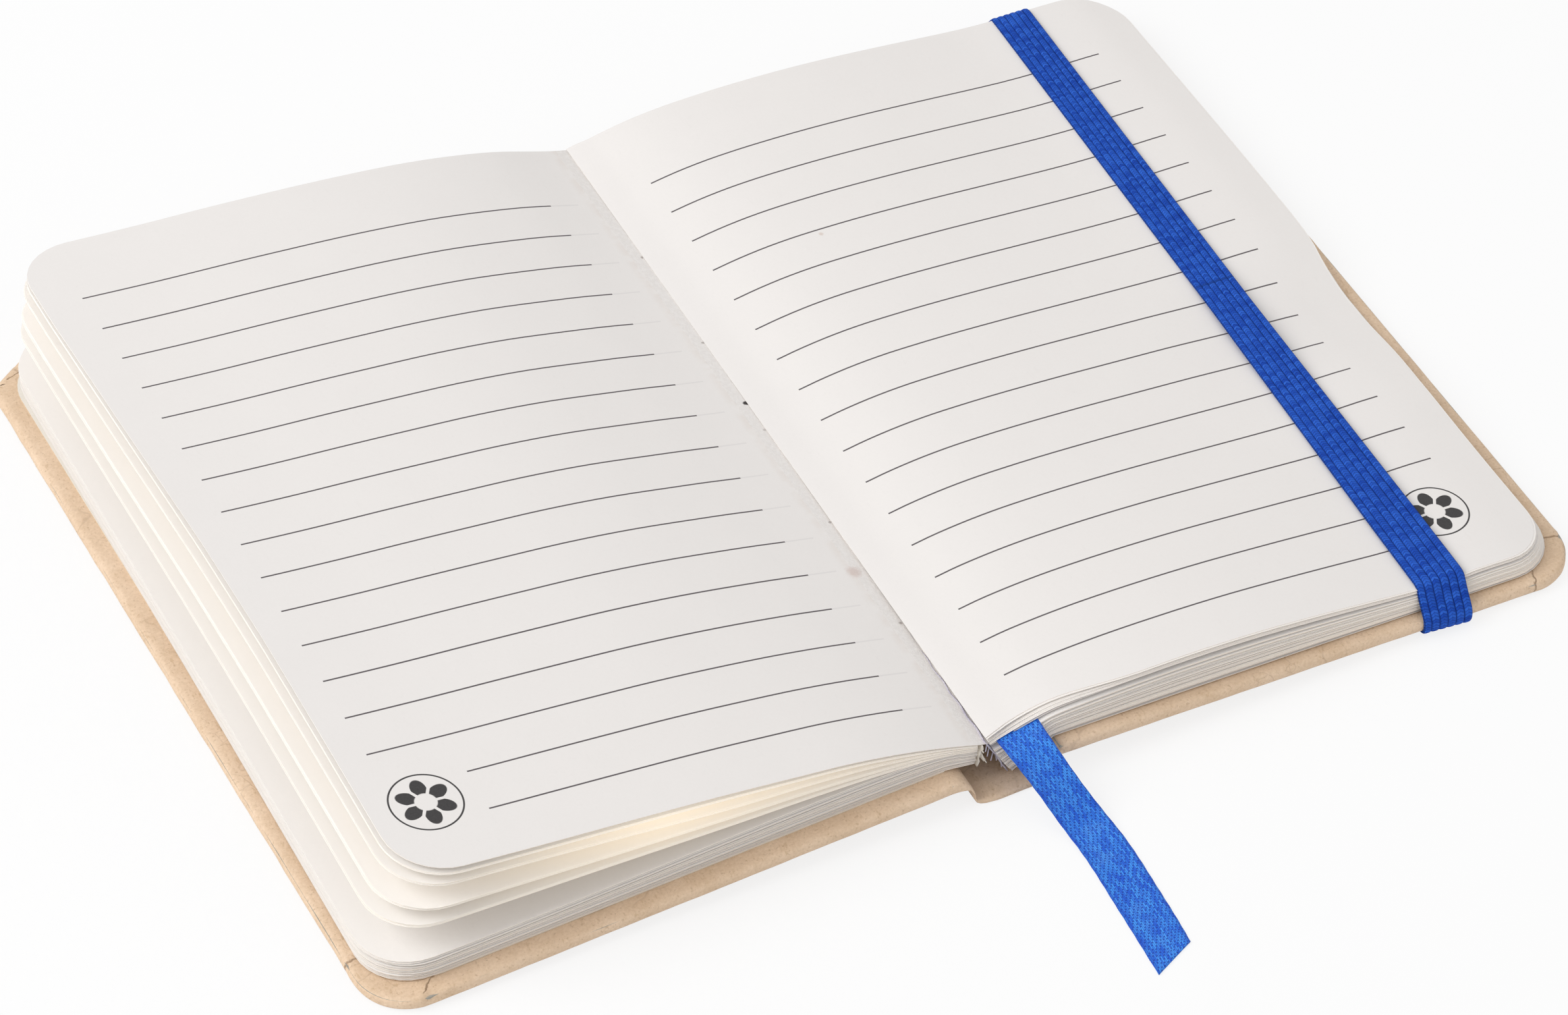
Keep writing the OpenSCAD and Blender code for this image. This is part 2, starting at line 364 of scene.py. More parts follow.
def newMaterial(name, **values):
    material = bpy.data.materials.new(name)
    material.use_nodes = True
    shader = material.node_tree.nodes["Principled BSDF"]
    for label, value in values.items():
        shader.inputs[label.replace("_", " ")].default_value = value
    where = material.node_tree.nodes.new("ShaderNodeTexCoord").outputs["Object"]
    return material, material.node_tree, shader, where


def bump(tree, shader, height, strength, distance):
    node = tree.nodes.new("ShaderNodeBump")
    node.inputs["Strength"].default_value = strength
    node.inputs["Distance"].default_value = distance
    tree.links.new(height, node.inputs["Height"])
    tree.links.new(node.outputs["Normal"], shader.inputs["Normal"])
    return node


def readAttribute(tree, name):
    node = tree.nodes.new("ShaderNodeAttribute")
    node.attribute_name = name
    return node.outputs["Fac"]


# materials
def pageMaterial(name, ruling, ring, gutter, spots):
    material, tree, shader, where = newMaterial(name, Roughness=0.72, Specular_IOR_Level=0.2)
    sheetPlace = tree.nodes.new("ShaderNodeCombineXYZ")          # where a point lies on the printed sheet
    tree.links.new(readAttribute(tree, "printX"), sheetPlace.inputs[0])
    tree.links.new(readAttribute(tree, "printY"), sheetPlace.inputs[1])
    onSheet = sheetPlace.outputs[0]
    fibre = placeGroup(material, "fibre", where, Mottle=0.3, Fibre=0.35)
    sheet = mixColour(tree, fibre.outputs["Tone"], lin(232, 228, 225), lin(241, 237, 234))
    cream = mixColour(tree, fibre.outputs["Tone"], lin(247, 242, 236), lin(251, 247, 242))
    colour = mixColour(tree, readAttribute(tree, "cream"), sheet, cream)
    colour = mixColour(tree, readAttribute(tree, "cut"), colour, lin(252, 240, 224))
    lines = placeGroup(material, "ruling", onSheet, **ruling)
    speckle = noise(tree, where, 5200, 2)
    ink = mixColour(tree, speckle, lin(44, 38, 40), lin(104, 96, 100))
    colour = mixColour(tree, times(tree, lines.outputs["Show Through"], 0.13), colour, lin(150, 146, 150))
    colour = mixColour(tree, times(tree, lines.outputs["Line"], 0.96), colour, ink)
    mark = placeGroup(material, "rosette", onSheet, **ring)
    colour = mixColour(tree, times(tree, mark.outputs["Print"], 0.97), colour,
                       mixColour(tree, speckle, lin(34, 33, 34), lin(64, 62, 63)))
    height = fibre.outputs["Height"]
    if gutter:
        # strip of dried glue beside the gutter, with a soft shade outside it
        torn = placeGroup(material, "gluedStrip", onSheet, **gutter)
        colour = mixColour(tree, times(tree, torn.outputs["Shade"], 0.16), colour, lin(206, 186, 170))
        colour = mixColour(tree, times(tree, torn.outputs["Strip"], 0.5), colour, lin(226, 221, 217))
        colour = mixColour(tree, times(tree, torn.outputs["Tear"], 0.4), colour, lin(196, 186, 176))
        height = plus(tree, height, times(tree, torn.outputs["Rough"], 4.0))
    for x, y, radius, strength, soft, tint in spots:
        spot = placeGroup(material, "spot", onSheet, X=x * mm, Y=y * mm, Radius=radius * mm, Soft=soft)
        colour = mixColour(tree, times(tree, spot.outputs["Mark"], strength), colour, lin(*tint))
    tree.links.new(colour, shader.inputs["Base Color"])
    bump(tree, shader, height, 0.3, 0.00003)
    return material


def fannedMaterial():
    # unprinted margins of the fanned leaves; a painted warm glow (emission) in their gaps stands in for the light
    # that comes through the thin sheets
    material, tree, shader, where = newMaterial("fannedPagePaper", Roughness=0.75, Specular_IOR_Level=0.15)
    fibre = placeGroup(material, "fibre", where, Mottle=0.3, Fibre=0.35)
    colour = mixColour(tree, fibre.outputs["Tone"], lin(247, 242, 236), lin(251, 247, 242))
    colour = mixColour(tree, readAttribute(tree, "cut"), colour, lin(250, 240, 226))
    tree.links.new(colour, shader.inputs["Base Color"])
    # painted glow: warm emission, as strong as the leaf's lit attribute, standing in for light coming through the
    # sheets
    shader.inputs["Emission Color"].default_value = (1.0, 0.86, 0.62, 1)
    tree.links.new(readAttribute(tree, "lit"), shader.inputs["Emission Strength"])
    bump(tree, shader, fibre.outputs["Height"], 0.3, 0.00003)
    return material


# pressed folds round the covers' corners: x, y and turn in mm and degrees, length, width
kraftFolds = [(-90.4, -59.4, 2, 5.0, 0.26), (-83.7, -67.6, 45, 4.6, 0.24), (-91.2, 64.4, 20, 2.6, 0.2),
              (91.6, -62.6, -14, 4.8, 0.26), (84.6, 68.6, 105, 5.0, 0.24), (90.8, 60.6, 195, 5.0, 0.26),
              (-86.2, 68.7, 76, 5.0, 0.24), (85.2, -68.9, 70, 4.4, 0.22)]


def kraftMaterial():
    material, tree, shader, where = newMaterial("kraftPaper", Roughness=0.68, Specular_IOR_Level=0.3)
    fibre = placeGroup(material, "fibre", where, Mottle=1.2, Fibre=1.2)
    colour = mixColour(tree, fibre.outputs["Tone"], lin(211, 182, 150), lin(238, 213, 187))
    specks = noise(tree, where, 2400, 1, 0.5)
    colour = mixColour(tree, times(tree, softStep(tree, specks, 0.62, 0.74), 0.35), colour, lin(172, 138, 104))
    # hair-fine creases where the paper was bent round the board, with painted shade darkening their lines
    cells = tree.nodes.new("ShaderNodeTexVoronoi")
    cells.feature = "DISTANCE_TO_EDGE"
    cells.inputs["Scale"].default_value = 210
    bent = tree.nodes.new("ShaderNodeVectorMath")
    bent.operation = "MULTIPLY_ADD"
    warp = tree.nodes.new("ShaderNodeTexNoise")
    warp.inputs["Scale"].default_value = 160
    tree.links.new(where, warp.inputs["Vector"])
    tree.links.new(warp.outputs["Color"], bent.inputs[0])
    bent.inputs[1].default_value = (0.006, 0.006, 0.006)
    tree.links.new(where, bent.inputs[2])
    tree.links.new(bent.outputs[0], cells.inputs["Vector"])
    hair = fadeOut(tree, cells.outputs["Distance"], 0.0, 0.035)
    hair = times(tree, hair, softStep(tree, noise(tree, where, 55, 2), 0.46, 0.62))
    dark, step = hair, times(tree, hair, -0.6)
    dark = times(tree, dark, 0.3)
    for x, y, turned, length, width in kraftFolds:
        fold = placeGroup(material, "fold", where, X=x * mm, Y=y * mm, Turn=math.radians(turned),
                          Length=length * mm, Width=width * mm)
        dark = calc(tree, "MAXIMUM", dark, fold.outputs["CreaseShade"])
        step = plus(tree, step, times(tree, fold.outputs["Step"], 6.0))
    # painted shade in the fine creases and in the pressed folds
    colour = mixColour(tree, times(tree, dark, 0.6), colour, lin(132, 98, 66))
    tree.links.new(colour, shader.inputs["Base Color"])
    waves = plus(tree, times(tree, noise(tree, where, 260, 2), 4.0), fibre.outputs["Height"])
    bump(tree, shader, plus(tree, waves, step), 0.5, 0.00008)
    return material


def plainPaper(name, low, high, mottle=0.5, fibreAmount=0.6, strength=0.3):
    material, tree, shader, where = newMaterial(name, Roughness=0.8, Specular_IOR_Level=0.2)
    fibre = placeGroup(material, "fibre", where, Mottle=mottle, Fibre=fibreAmount)
    tree.links.new(mixColour(tree, fibre.outputs["Tone"], low, high), shader.inputs["Base Color"])
    bump(tree, shader, fibre.outputs["Height"], strength, 0.00005)
    return material


def satinMaterial():
    # long floats of yarn in staggered rows, read from the ribbon's own along and across
    material, tree, shader, where = newMaterial("satinRibbon", Roughness=0.42, Specular_IOR_Level=0.35)
    along, across = readAttribute(tree, "along"), readAttribute(tree, "across")
    flat = tree.nodes.new("ShaderNodeCombineXYZ")
    tree.links.new(times(tree, across, 1.0), flat.inputs[0])
    tree.links.new(times(tree, along, 0.22), flat.inputs[1])
    drift = noise(tree, flat.outputs[0], 900, 2, 0.6)
    rows = plus(tree, times(tree, across, 1 / 0.00024), times(tree, drift, 0.8))
    row = calc(tree, "FLOOR", rows)
    inRow = calc(tree, "ABSOLUTE", minus(tree, calc(tree, "FRACT", rows), 0.5))
    jump = tree.nodes.new("ShaderNodeTexWhiteNoise")
    jump.noise_dimensions = "1D"
    tree.links.new(row, jump.inputs["W"])
    # each row of floats starts a set step after the last one, which draws faint slanting lines
    stagger = plus(tree, times(tree, row, 0.37), times(tree, jump.outputs["Value"], 0.22))
    run = plus(tree, times(tree, along, 1 / 0.0011), stagger)
    inRun = calc(tree, "ABSOLUTE", minus(tree, calc(tree, "FRACT", run), 0.5))
    join = calc(tree, "MAXIMUM", times(tree, softStep(tree, inRow, 0.30, 0.5), 0.75),
                softStep(tree, inRun, 0.36, 0.47))
    cell = tree.nodes.new("ShaderNodeCombineXYZ")
    tree.links.new(row, cell.inputs[0])
    tree.links.new(calc(tree, "FLOOR", run), cell.inputs[1])
    chance = tree.nodes.new("ShaderNodeTexWhiteNoise")
    tree.links.new(cell.outputs[0], chance.inputs["Vector"])
    yarn = mixColour(tree, chance.outputs["Value"], lin(10, 90, 216), lin(64, 154, 250))
    broad = noise(tree, where, 260, 3, 0.6)              # cloudy lighter and darker patches along the ribbon
    yarn = mixColour(tree, times(tree, softStep(tree, broad, 0.5, 0.7), 0.3), yarn, lin(96, 172, 250))
    # painted shade where the floats dip at their joins and between rows
    colour = mixColour(tree, times(tree, join, 0.9), yarn, lin(4, 48, 150))
    border = softStep(tree, calc(tree, "ABSOLUTE", across), 0.00275, 0.0030)
    colour = mixColour(tree, times(tree, border, 0.5), colour, lin(8, 64, 178))
    tree.links.new(colour, shader.inputs["Base Color"])
    bump(tree, shader, minus(tree, 1.0, join), 0.7, 0.00006)
    return material


def elasticMaterial():
    # slanting stitches that meet in a V on each rib, read from the band's own along and across; the grooves between
    # ribs and the gaps between stitches are painted darker as painted shade
    material, tree, shader, where = newMaterial("ribbedElastic", Roughness=0.75, Specular_IOR_Level=0.15)
    along, across = readAttribute(tree, "along"), readAttribute(tree, "across")
    ribs = times(tree, across, 6.0)
    inRib = calc(tree, "ABSOLUTE", minus(tree, calc(tree, "FRACT", ribs), 0.5))
    groove = softStep(tree, inRib, 0.34, 0.5)
    threads = plus(tree, times(tree, along, 1 / 0.00044), times(tree, inRib, 1.7))
    inThread = calc(tree, "ABSOLUTE", minus(tree, calc(tree, "FRACT", threads), 0.5))
    gap = softStep(tree, inThread, 0.26, 0.5)
    ridge = softStep(tree, inRib, 0.10, 0.0)
    dark = calc(tree, "MAXIMUM", groove, times(tree, gap, 0.5))
    cell = tree.nodes.new("ShaderNodeCombineXYZ")
    tree.links.new(calc(tree, "FLOOR", ribs), cell.inputs[0])
    tree.links.new(calc(tree, "FLOOR", threads), cell.inputs[1])
    chance = tree.nodes.new("ShaderNodeTexWhiteNoise")
    tree.links.new(cell.outputs[0], chance.inputs["Vector"])
    yarn = mixColour(tree, chance.outputs["Value"], lin(19, 68, 170), lin(45, 101, 208))
    yarn = mixColour(tree, times(tree, ridge, 0.25), yarn, lin(10, 50, 150))
    # painted shade in the rib grooves and between the stitches
    colour = mixColour(tree, times(tree, dark, 0.8), yarn, lin(8, 31, 102))
    tree.links.new(colour, shader.inputs["Base Color"])
    bump(tree, shader, minus(tree, 1.0, dark), 0.9, 0.00012)
    return material


print("materials")
leftRuling = {"Low_End": -0.0816, "High_End": -0.0096, "Short_Low": -0.0704, "Short_High": -0.0096,
              "Through": -0.0052}
rightRuling = {"Low_End": 0.0064, "High_End": 0.0825, "Short_Low": 0.0061, "Short_High": 0.0712, "Through": 0.0}
# small marks on the sheets: x, y and radius in mm, strength, softness, colour
leftSpots = [(-1.25, 39.8, 0.24, 0.5, 0.4, (110, 90, 80)), (-1.25, 19.4, 0.24, 0.5, 0.4, (110, 94, 86)),
             (-1.25, 5.4, 0.42, 0.95, 0.25, (34, 26, 26)), (-1.3, -0.7, 0.24, 0.35, 0.4, (120, 106, 98)),
             (-1.25, -21.2, 0.24, 0.5, 0.4, (104, 88, 80)), (-1.25, -42.2, 0.26, 0.5, 0.4, (104, 88, 80)),
             (-2.75, -31.4, 0.95, 0.30, 0.6, (170, 116, 92))]
rightSpots = [(23.6, 31.2, 0.34, 0.3, 0.5, (176, 132, 96))]
looks = {
    "leftPage": pageMaterial("leftPagePaper", leftRuling, {"X": -0.0777, "Y": -0.0551, "Radius": 0.00508},
                             {"Outer": -0.0028, "Wander": 0.0003, "Side": -1.0}, leftSpots),
    "rightPage": pageMaterial("rightPagePaper", rightRuling, {"X": 0.0772, "Y": -0.0546, "Radius": 0.005}, None,
                              rightSpots),
    "fannedPage": fannedMaterial(),
    "kraft": kraftMaterial(),
    "board": plainPaper("greyboardCore", lin(150, 146, 138), lin(182, 178, 168), 0.9, 1.2),
    "inlay": plainPaper("inlayCard", lin(150, 122, 92), lin(176, 148, 116), 0.8, 1.2),
    "endpaper": plainPaper("endpaperStock", lin(226, 221, 212), lin(238, 234, 226)),
    "leftLining": plainPaper("gluedLining", lin(206, 198, 184), lin(236, 230, 220), 1.2, 1.4, 0.8),
    # the right lining's lavender-grey tone is partly the lining's own colour and partly painted shade of the gutter
    # it lies in
    "rightLining": plainPaper("spineLining", lin(172, 166, 182), lin(216, 212, 222), 1.2, 1.4, 0.8),
    "satin": satinMaterial(),
    "elastic": elasticMaterial(),
}


def dress(piece, look):
    piece.data.materials.clear()
    piece.data.materials.append(looks[look])


# ribbon marker
ribbonSet = {
    "width": 6.6, "thick": 0.26, "cutSlant": 1.6,
    "route": [(3.75, -65.6, 8.35), (3.8, -67.6, 8.25), (4.05, -69.6, 7.85), (4.55, -71.8, 6.95), (5.3, -74, 5.5),
              (6.2, -76.4, 3.6), (7.0, -78.6, 1.85), (7.55, -80.8, 0.75), (7.85, -83.4, 0.3), (7.85, -87, 0.2),
              (7.5, -93.9, 0.2), (7.2, -99.6, 0.2), (6.8, -105.7, 0.2)],
    "roll": 11,
}


def makeRibbon():
    line, length = smoothPath(ribbonSet["route"], 110)
    w, t = ribbonSet["width"] / 2, ribbonSet["thick"] / 2
    section = [(s * w, h) for s, h in ((-1, 0), (-0.985, 0.6), (-0.94, 1.0), (-0.8, 0.75), (-0.4, 0.75), (0, 0.75),
                                       (0.4, 0.75), (0.8, 0.75), (0.94, 1.0), (0.985, 0.6), (1, 0))]
    section = [(a, b * t) for a, b in section] + [(a, -b * t) for a, b in reversed(section[1:-1])]
    verts, alongs, acrosses = [], [], []
    for i, p in enumerate(line):
        step = line[min(i + 1, len(line) - 1)] - line[max(i - 1, 0)]
        up = np.array([0, -step[2], step[1]])
        up = up / -np.linalg.norm(up)
        side = np.array([1.0, 0, 0])
        s = i / (len(line) - 1)
        curl = 0.10 * math.sin(3.1 * s + 0.4)            # the ribbon's face tips a little as it falls
        lean = math.radians(ribbonSet["roll"]) * max(0.0, 1 - s / 0.3) ** 1.5
        side, up = side * math.cos(lean) + up * math.sin(lean), up * math.cos(lean) - side * math.sin(lean)
        slim = 0.055 * math.exp(-((s - 0.24) / 0.16) ** 2)
        for a, b in section:
            a = a - slim * (a + w)                                   # its right border draws in there
            slide = ribbonSet["cutSlant"] * (a / w) * s**10
            q = p + side * a * (1 + 0.006 * math.sin(i * 0.9 + a)) + up * b + up * (curl * (a / w) ** 2)
            q = q + np.array([0, slide, 0])
            q[2] = max(q[2], 0.02 + (t + b) * 0.9)
            verts.append(q * mm)
            alongs.append(s * length * mm)
            acrosses.append(a * mm)
    n = len(section)
    faces = []
    for i in range(len(line) - 1):
        for k in range(n):
            faces.append((i * n + k, i * n + (k + 1) % n, (i + 1) * n + (k + 1) % n, (i + 1) * n + k))
    faces.append(tuple(range(n - 1, -1, -1)))
    faces.append(tuple(range((len(line) - 1) * n, len(line) * n)))
    piece = addMesh("ribbonMarker", verts, faces, attributes={"along": alongs, "across": acrosses})
    dress(piece, "satin")
    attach(piece, "back_half")
    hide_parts("ribbon_marker")
    print("ribbon", round(length, 1), "mm")


makeRibbon()


# covers
coverSet = {
    "height": 140, "reach": 93.5, "corner": 8, "paper": 0.22,
    "rise": 3.4, "stack": 2.32,          # underside's height at the spine edge; cover and endpaper together
    "slant": 3 / 140,                    # how far the front half's outer edge leans out towards the head
    # the front half's head corner is cut off: a point on the cut, and which way is inward
    "cut": ((-87.75, 67.1), (0.523, -0.852)),
    "spineOut": 0.75,                    # the sheet stands out a little at the tail of the spine
    # underside of the one kraft sheet, from the left edge to the right edge
    "underside": [(-93.5, 0), (-7.6, 3.4), (-6.3, 3.36), (-5.3, 3.2), (-4.7, 2.95), (-4.35, 2.5), (-4.2, 1.8),
                  (-4.1, 1.0), (-3.8, 0.35), (-3.3, 0.06), (-2.6, 0), (6.2, 0), (6.75, 0.22), (7.15, 0.8),
                  (7.5, 1.7), (8.0, 2.7), (8.7, 3.3), (9.4, 3.38), (93.5, 0)],
    "thickness": [(-93.5, 2.05), (-8.2, 2.05), (-7.0, 1.95), (-6.2, 1.75), (-5.4, 1.35), (-4.8, 1.0), (-4.3, 0.8),
                  (-4.0, 0.75), (-3.0, 0.95), (6.0, 0.95), (7.4, 0.9), (8.4, 1.4), (9.4, 1.95), (10.4, 2.05),
                  (93.5, 2.05)],
    # wrap round the edge: how far in from the outline, and how high of the thickness
    "wrap": [(0.75, 0.0), (0.42, 0.05), (0.18, 0.15), (0.05, 0.3), (0.0, 0.5), (0.05, 0.7), (0.18, 0.85),
             (0.42, 0.95), (0.8, 1.0), (1.6, 1.0), (2.4, 0.99), (3.2, 0.975), (4.6, 0.97), (6.0, 0.965)],
}


def makeCovers():
    c = coverSet
    r, edge, half = c["corner"], c["reach"], c["height"] / 2
    under = lambda x: np.interp(x, [p[0] for p in c["underside"]], [p[1] for p in c["underside"]])
    thick = lambda x: np.interp(x, [p[0] for p in c["thickness"]], [p[1] for p in c["thickness"]])
    arc = [edge - r + r * math.sin(a) for a in np.linspace(0, math.pi / 2, 34)[1:]]
    inner = sorted(set([p[0] for p in c["underside"][1:-1]] + [0, 3, -1, 2, 7.8, -7, -8.2, 10.4]))
    flat = list(np.linspace(-84.5, -9.5, 48)) + inner + list(np.linspace(11.5, 84.5, 46))
    xs = np.array(sorted([-a for a in arc] + arc + [-85.5, 85.5] + flat))
    rounded = half - r + np.sqrt(np.maximum(r * r - (np.abs(xs) - edge + r) ** 2, 0))
    reachY = np.where(np.abs(xs) > edge - r, rounded, half)
    vs = np.array([-1, -0.99, -0.98, -0.965, -0.95, -0.93] + list(np.linspace(-0.9, 0.9, 37))
                  + [0.93, 0.95, 0.965, 0.98, 0.99, 1])
    nx, nv = len(xs), len(vs)
    d0 = c["wrap"][0][0]
    # boundary in order: tail edge, right edge, head edge, left edge
    loop = [(i, 0) for i in range(nx)] + [(nx - 1, j) for j in range(1, nv)] \
        + [(i, nv - 1) for i in range(nx - 2, -1, -1)] + [(0, j) for j in range(nv - 2, 0, -1)]
    outline = np.array([(xs[i], vs[j] * reachY[i]) for i, j in loop])

    def inward(p):
        x, y = p
        cx, cy = np.clip(x, -(edge - r), edge - r), np.clip(y, -(half - r), half - r)
        d = np.array([cx - x, cy - y])
        if np.linalg.norm(d) < 1e-6:
            return np.array([0.0, 0.0])
        return d / np.linalg.norm(d)
    normals = np.array([inward(p) for p in outline])
    cutAt, cutIn = np.array(c["cut"][0]), np.array(c["cut"][1])
    past = np.minimum((outline - cutAt) @ cutIn, 0)
    outline = outline - past[:, None] * cutIn
    normals[past < -0.3] = cutIn
    verts = []
    index = {}
    for i in range(nx):
        for j in range(nv):
            x, y = xs[i], vs[j] * reachY[i]
            nrm = inward((x, y)) if (i in (0, nx - 1) or j in (0, nv - 1)) else None
            if nrm is not None:
                x, y = x + nrm[0] * d0, y + nrm[1] * d0
            else:
                pull = (half - d0) / half
                x = np.clip(x, -edge + d0, edge - d0)
                y = y * pull
            inside = (np.array((x, y)) - cutAt) @ cutIn - d0
            if inside < 0:
                x, y = x - inside * cutIn[0], y - inside * cutIn[1]
            index[(i, j)] = len(verts)
            verts.append((x, y, under(x)))
    faces = []
    for i in range(nx - 1):
        for j in range(nv - 1):
            faces.append((index[(i, j)], index[(i, j + 1)], index[(i + 1, j + 1)], index[(i + 1, j)]))
    last = [index[k] for k in loop]
    for ring, (d, h) in enumerate(c["wrap"][1:]):
        row = []
        for k, (p, nrm) in enumerate(zip(outline, normals)):
            spine = max(0.0, 1 - abs((p[0] - 1.5) / 12)) if abs(nrm[1]) > 0.9 else 0.0
            deep = d * (1 + 0.9 * min(1.0, spine * 2)) if d > 3 else d
            rough = wobble(p[0] * 0.8, p[1] * 0.8, 1.0) * 0.11 * math.sin(math.pi * min(h, 0.9))
            q = p + nrm * (deep - rough * 0.8)
            t = float(thick(q[0]))
            z = float(under(q[0])) + t * h + wobble(p[0] * 0.5, p[1] * 0.5, 4.0) * 0.05 * (h > 0.6)
            for cx, cy, turned, length, width in kraftFolds:       # the paper is pinched in along a fold
                ux, uy = math.cos(math.radians(turned)), math.sin(math.radians(turned))
                off = (q[1] - cy) * ux - (q[0] - cx) * uy
                if abs((q[0] - cx) * ux + (q[1] - cy) * uy) < length:
                    dent = math.exp(-(off / 0.45) ** 2) * min(1.0, h * 1.6)
                    lift = math.exp(-((off - 0.9) / 0.7) ** 2) * (h > 0.4)
                    q = q + nrm * 0.22 * dent
                    z += 0.13 * lift - 0.10 * dent * (h > 0.5)
            row.append(len(verts))
            verts.append((q[0], q[1], max(z, 0.0)))
        for k in range(len(row)):
            m = (k + 1) % len(row)
            faces.append((last[k], last[m], row[m], row[k]))
        last = row
    verts = np.array(verts)
    deepest = (verts[:, :2] - cutAt) @ cutIn
    verts[:, :2] -= np.minimum(deepest, 0)[:, None] * cutIn
    verts[:, 0] -= c["slant"] * verts[:, 1] * np.clip((-7.2 - verts[:, 0]) / (edge - 7.2), 0, 1)
    onSpine = np.clip((verts[:, 0] + 4.6) / 2.5, 0, 1) * np.clip((8.5 - verts[:, 0]) / 2.5, 0, 1)
    verts[:, 1] -= c["spineOut"] * onSpine * np.clip((-64 - verts[:, 1]) / 6, 0, 1)
    piece = addMesh("kraftCovers", verts * mm, faces)
    shell = bmesh.new()
    shell.from_mesh(piece.data)
    bmesh.ops.recalc_face_normals(shell, faces=shell.faces)
    low = min(shell.faces, key=lambda f: f.calc_center_median().z)
    if low.normal.z > 0:
        bmesh.ops.reverse_faces(shell, faces=shell.faces)
    shell.to_mesh(piece.data)
    shell.free()
    wall = piece.modifiers.new("paper", "SOLIDIFY")
    wall.thickness = c["paper"] * mm
    wall.offset = -1
    bpy.context.view_layer.objects.active = piece
    with bpy.context.temp_override(object=piece, active_object=piece):
        bpy.ops.object.modifier_apply(modifier="paper")
    dress(piece, "kraft")
    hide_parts("front_cover_paper", "back_cover_paper")
    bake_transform(piece, "front_half", "back_half", start=(-0.0072, 0, 0.003), end=(0.0066, 0, 0.003))
    print("covers", len(piece.data.polygons))


makeCovers()


def cutBoard():
    # the front half's board with the same corner cut off
    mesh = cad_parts["front_board"].data.copy()
    piece = bpy.data.objects.new("frontBoard", mesh)
    scene.collection.objects.link(piece)
    place, inward = np.array(coverSet["cut"][0]) + (-1.35, 0), np.array(coverSet["cut"][1])
    spots = np.empty(len(mesh.vertices) * 3)
    mesh.vertices.foreach_get("co", spots)
    spots = spots.reshape(-1, 3)
    past = np.minimum((spots[:, :2] / mm - place) @ inward - 0.5, 0)
    spots[:, :2] -= past[:, None] * inward * mm
    mesh.vertices.foreach_set("co", spots.reshape(-1))
    mesh.update()
    dress(piece, "board")
    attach(piece, "front_half")
    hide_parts("front_board")


cutBoard()
for node, look in (("back_board", "board"), ("spine_inlay", "inlay"),
                   ("front_endpaper", "endpaper"), ("back_endpaper", "endpaper")):
    dress(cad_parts[node], look)


# leaves
tail, head = -67.0, 67.0            # the leaves' ends along the spine, in mm
pageSet = {"corner": 8.0, "half": 67.0, "leaf": 0.085, "stepsX": 44, "stepsY": 17}


def newStack(seed):
    return {"verts": [], "faces": [], "look": [], "cream": [], "cut": [], "lit": [], "printX": [], "printY": [],
            "chance": np.random.default_rng(seed)}


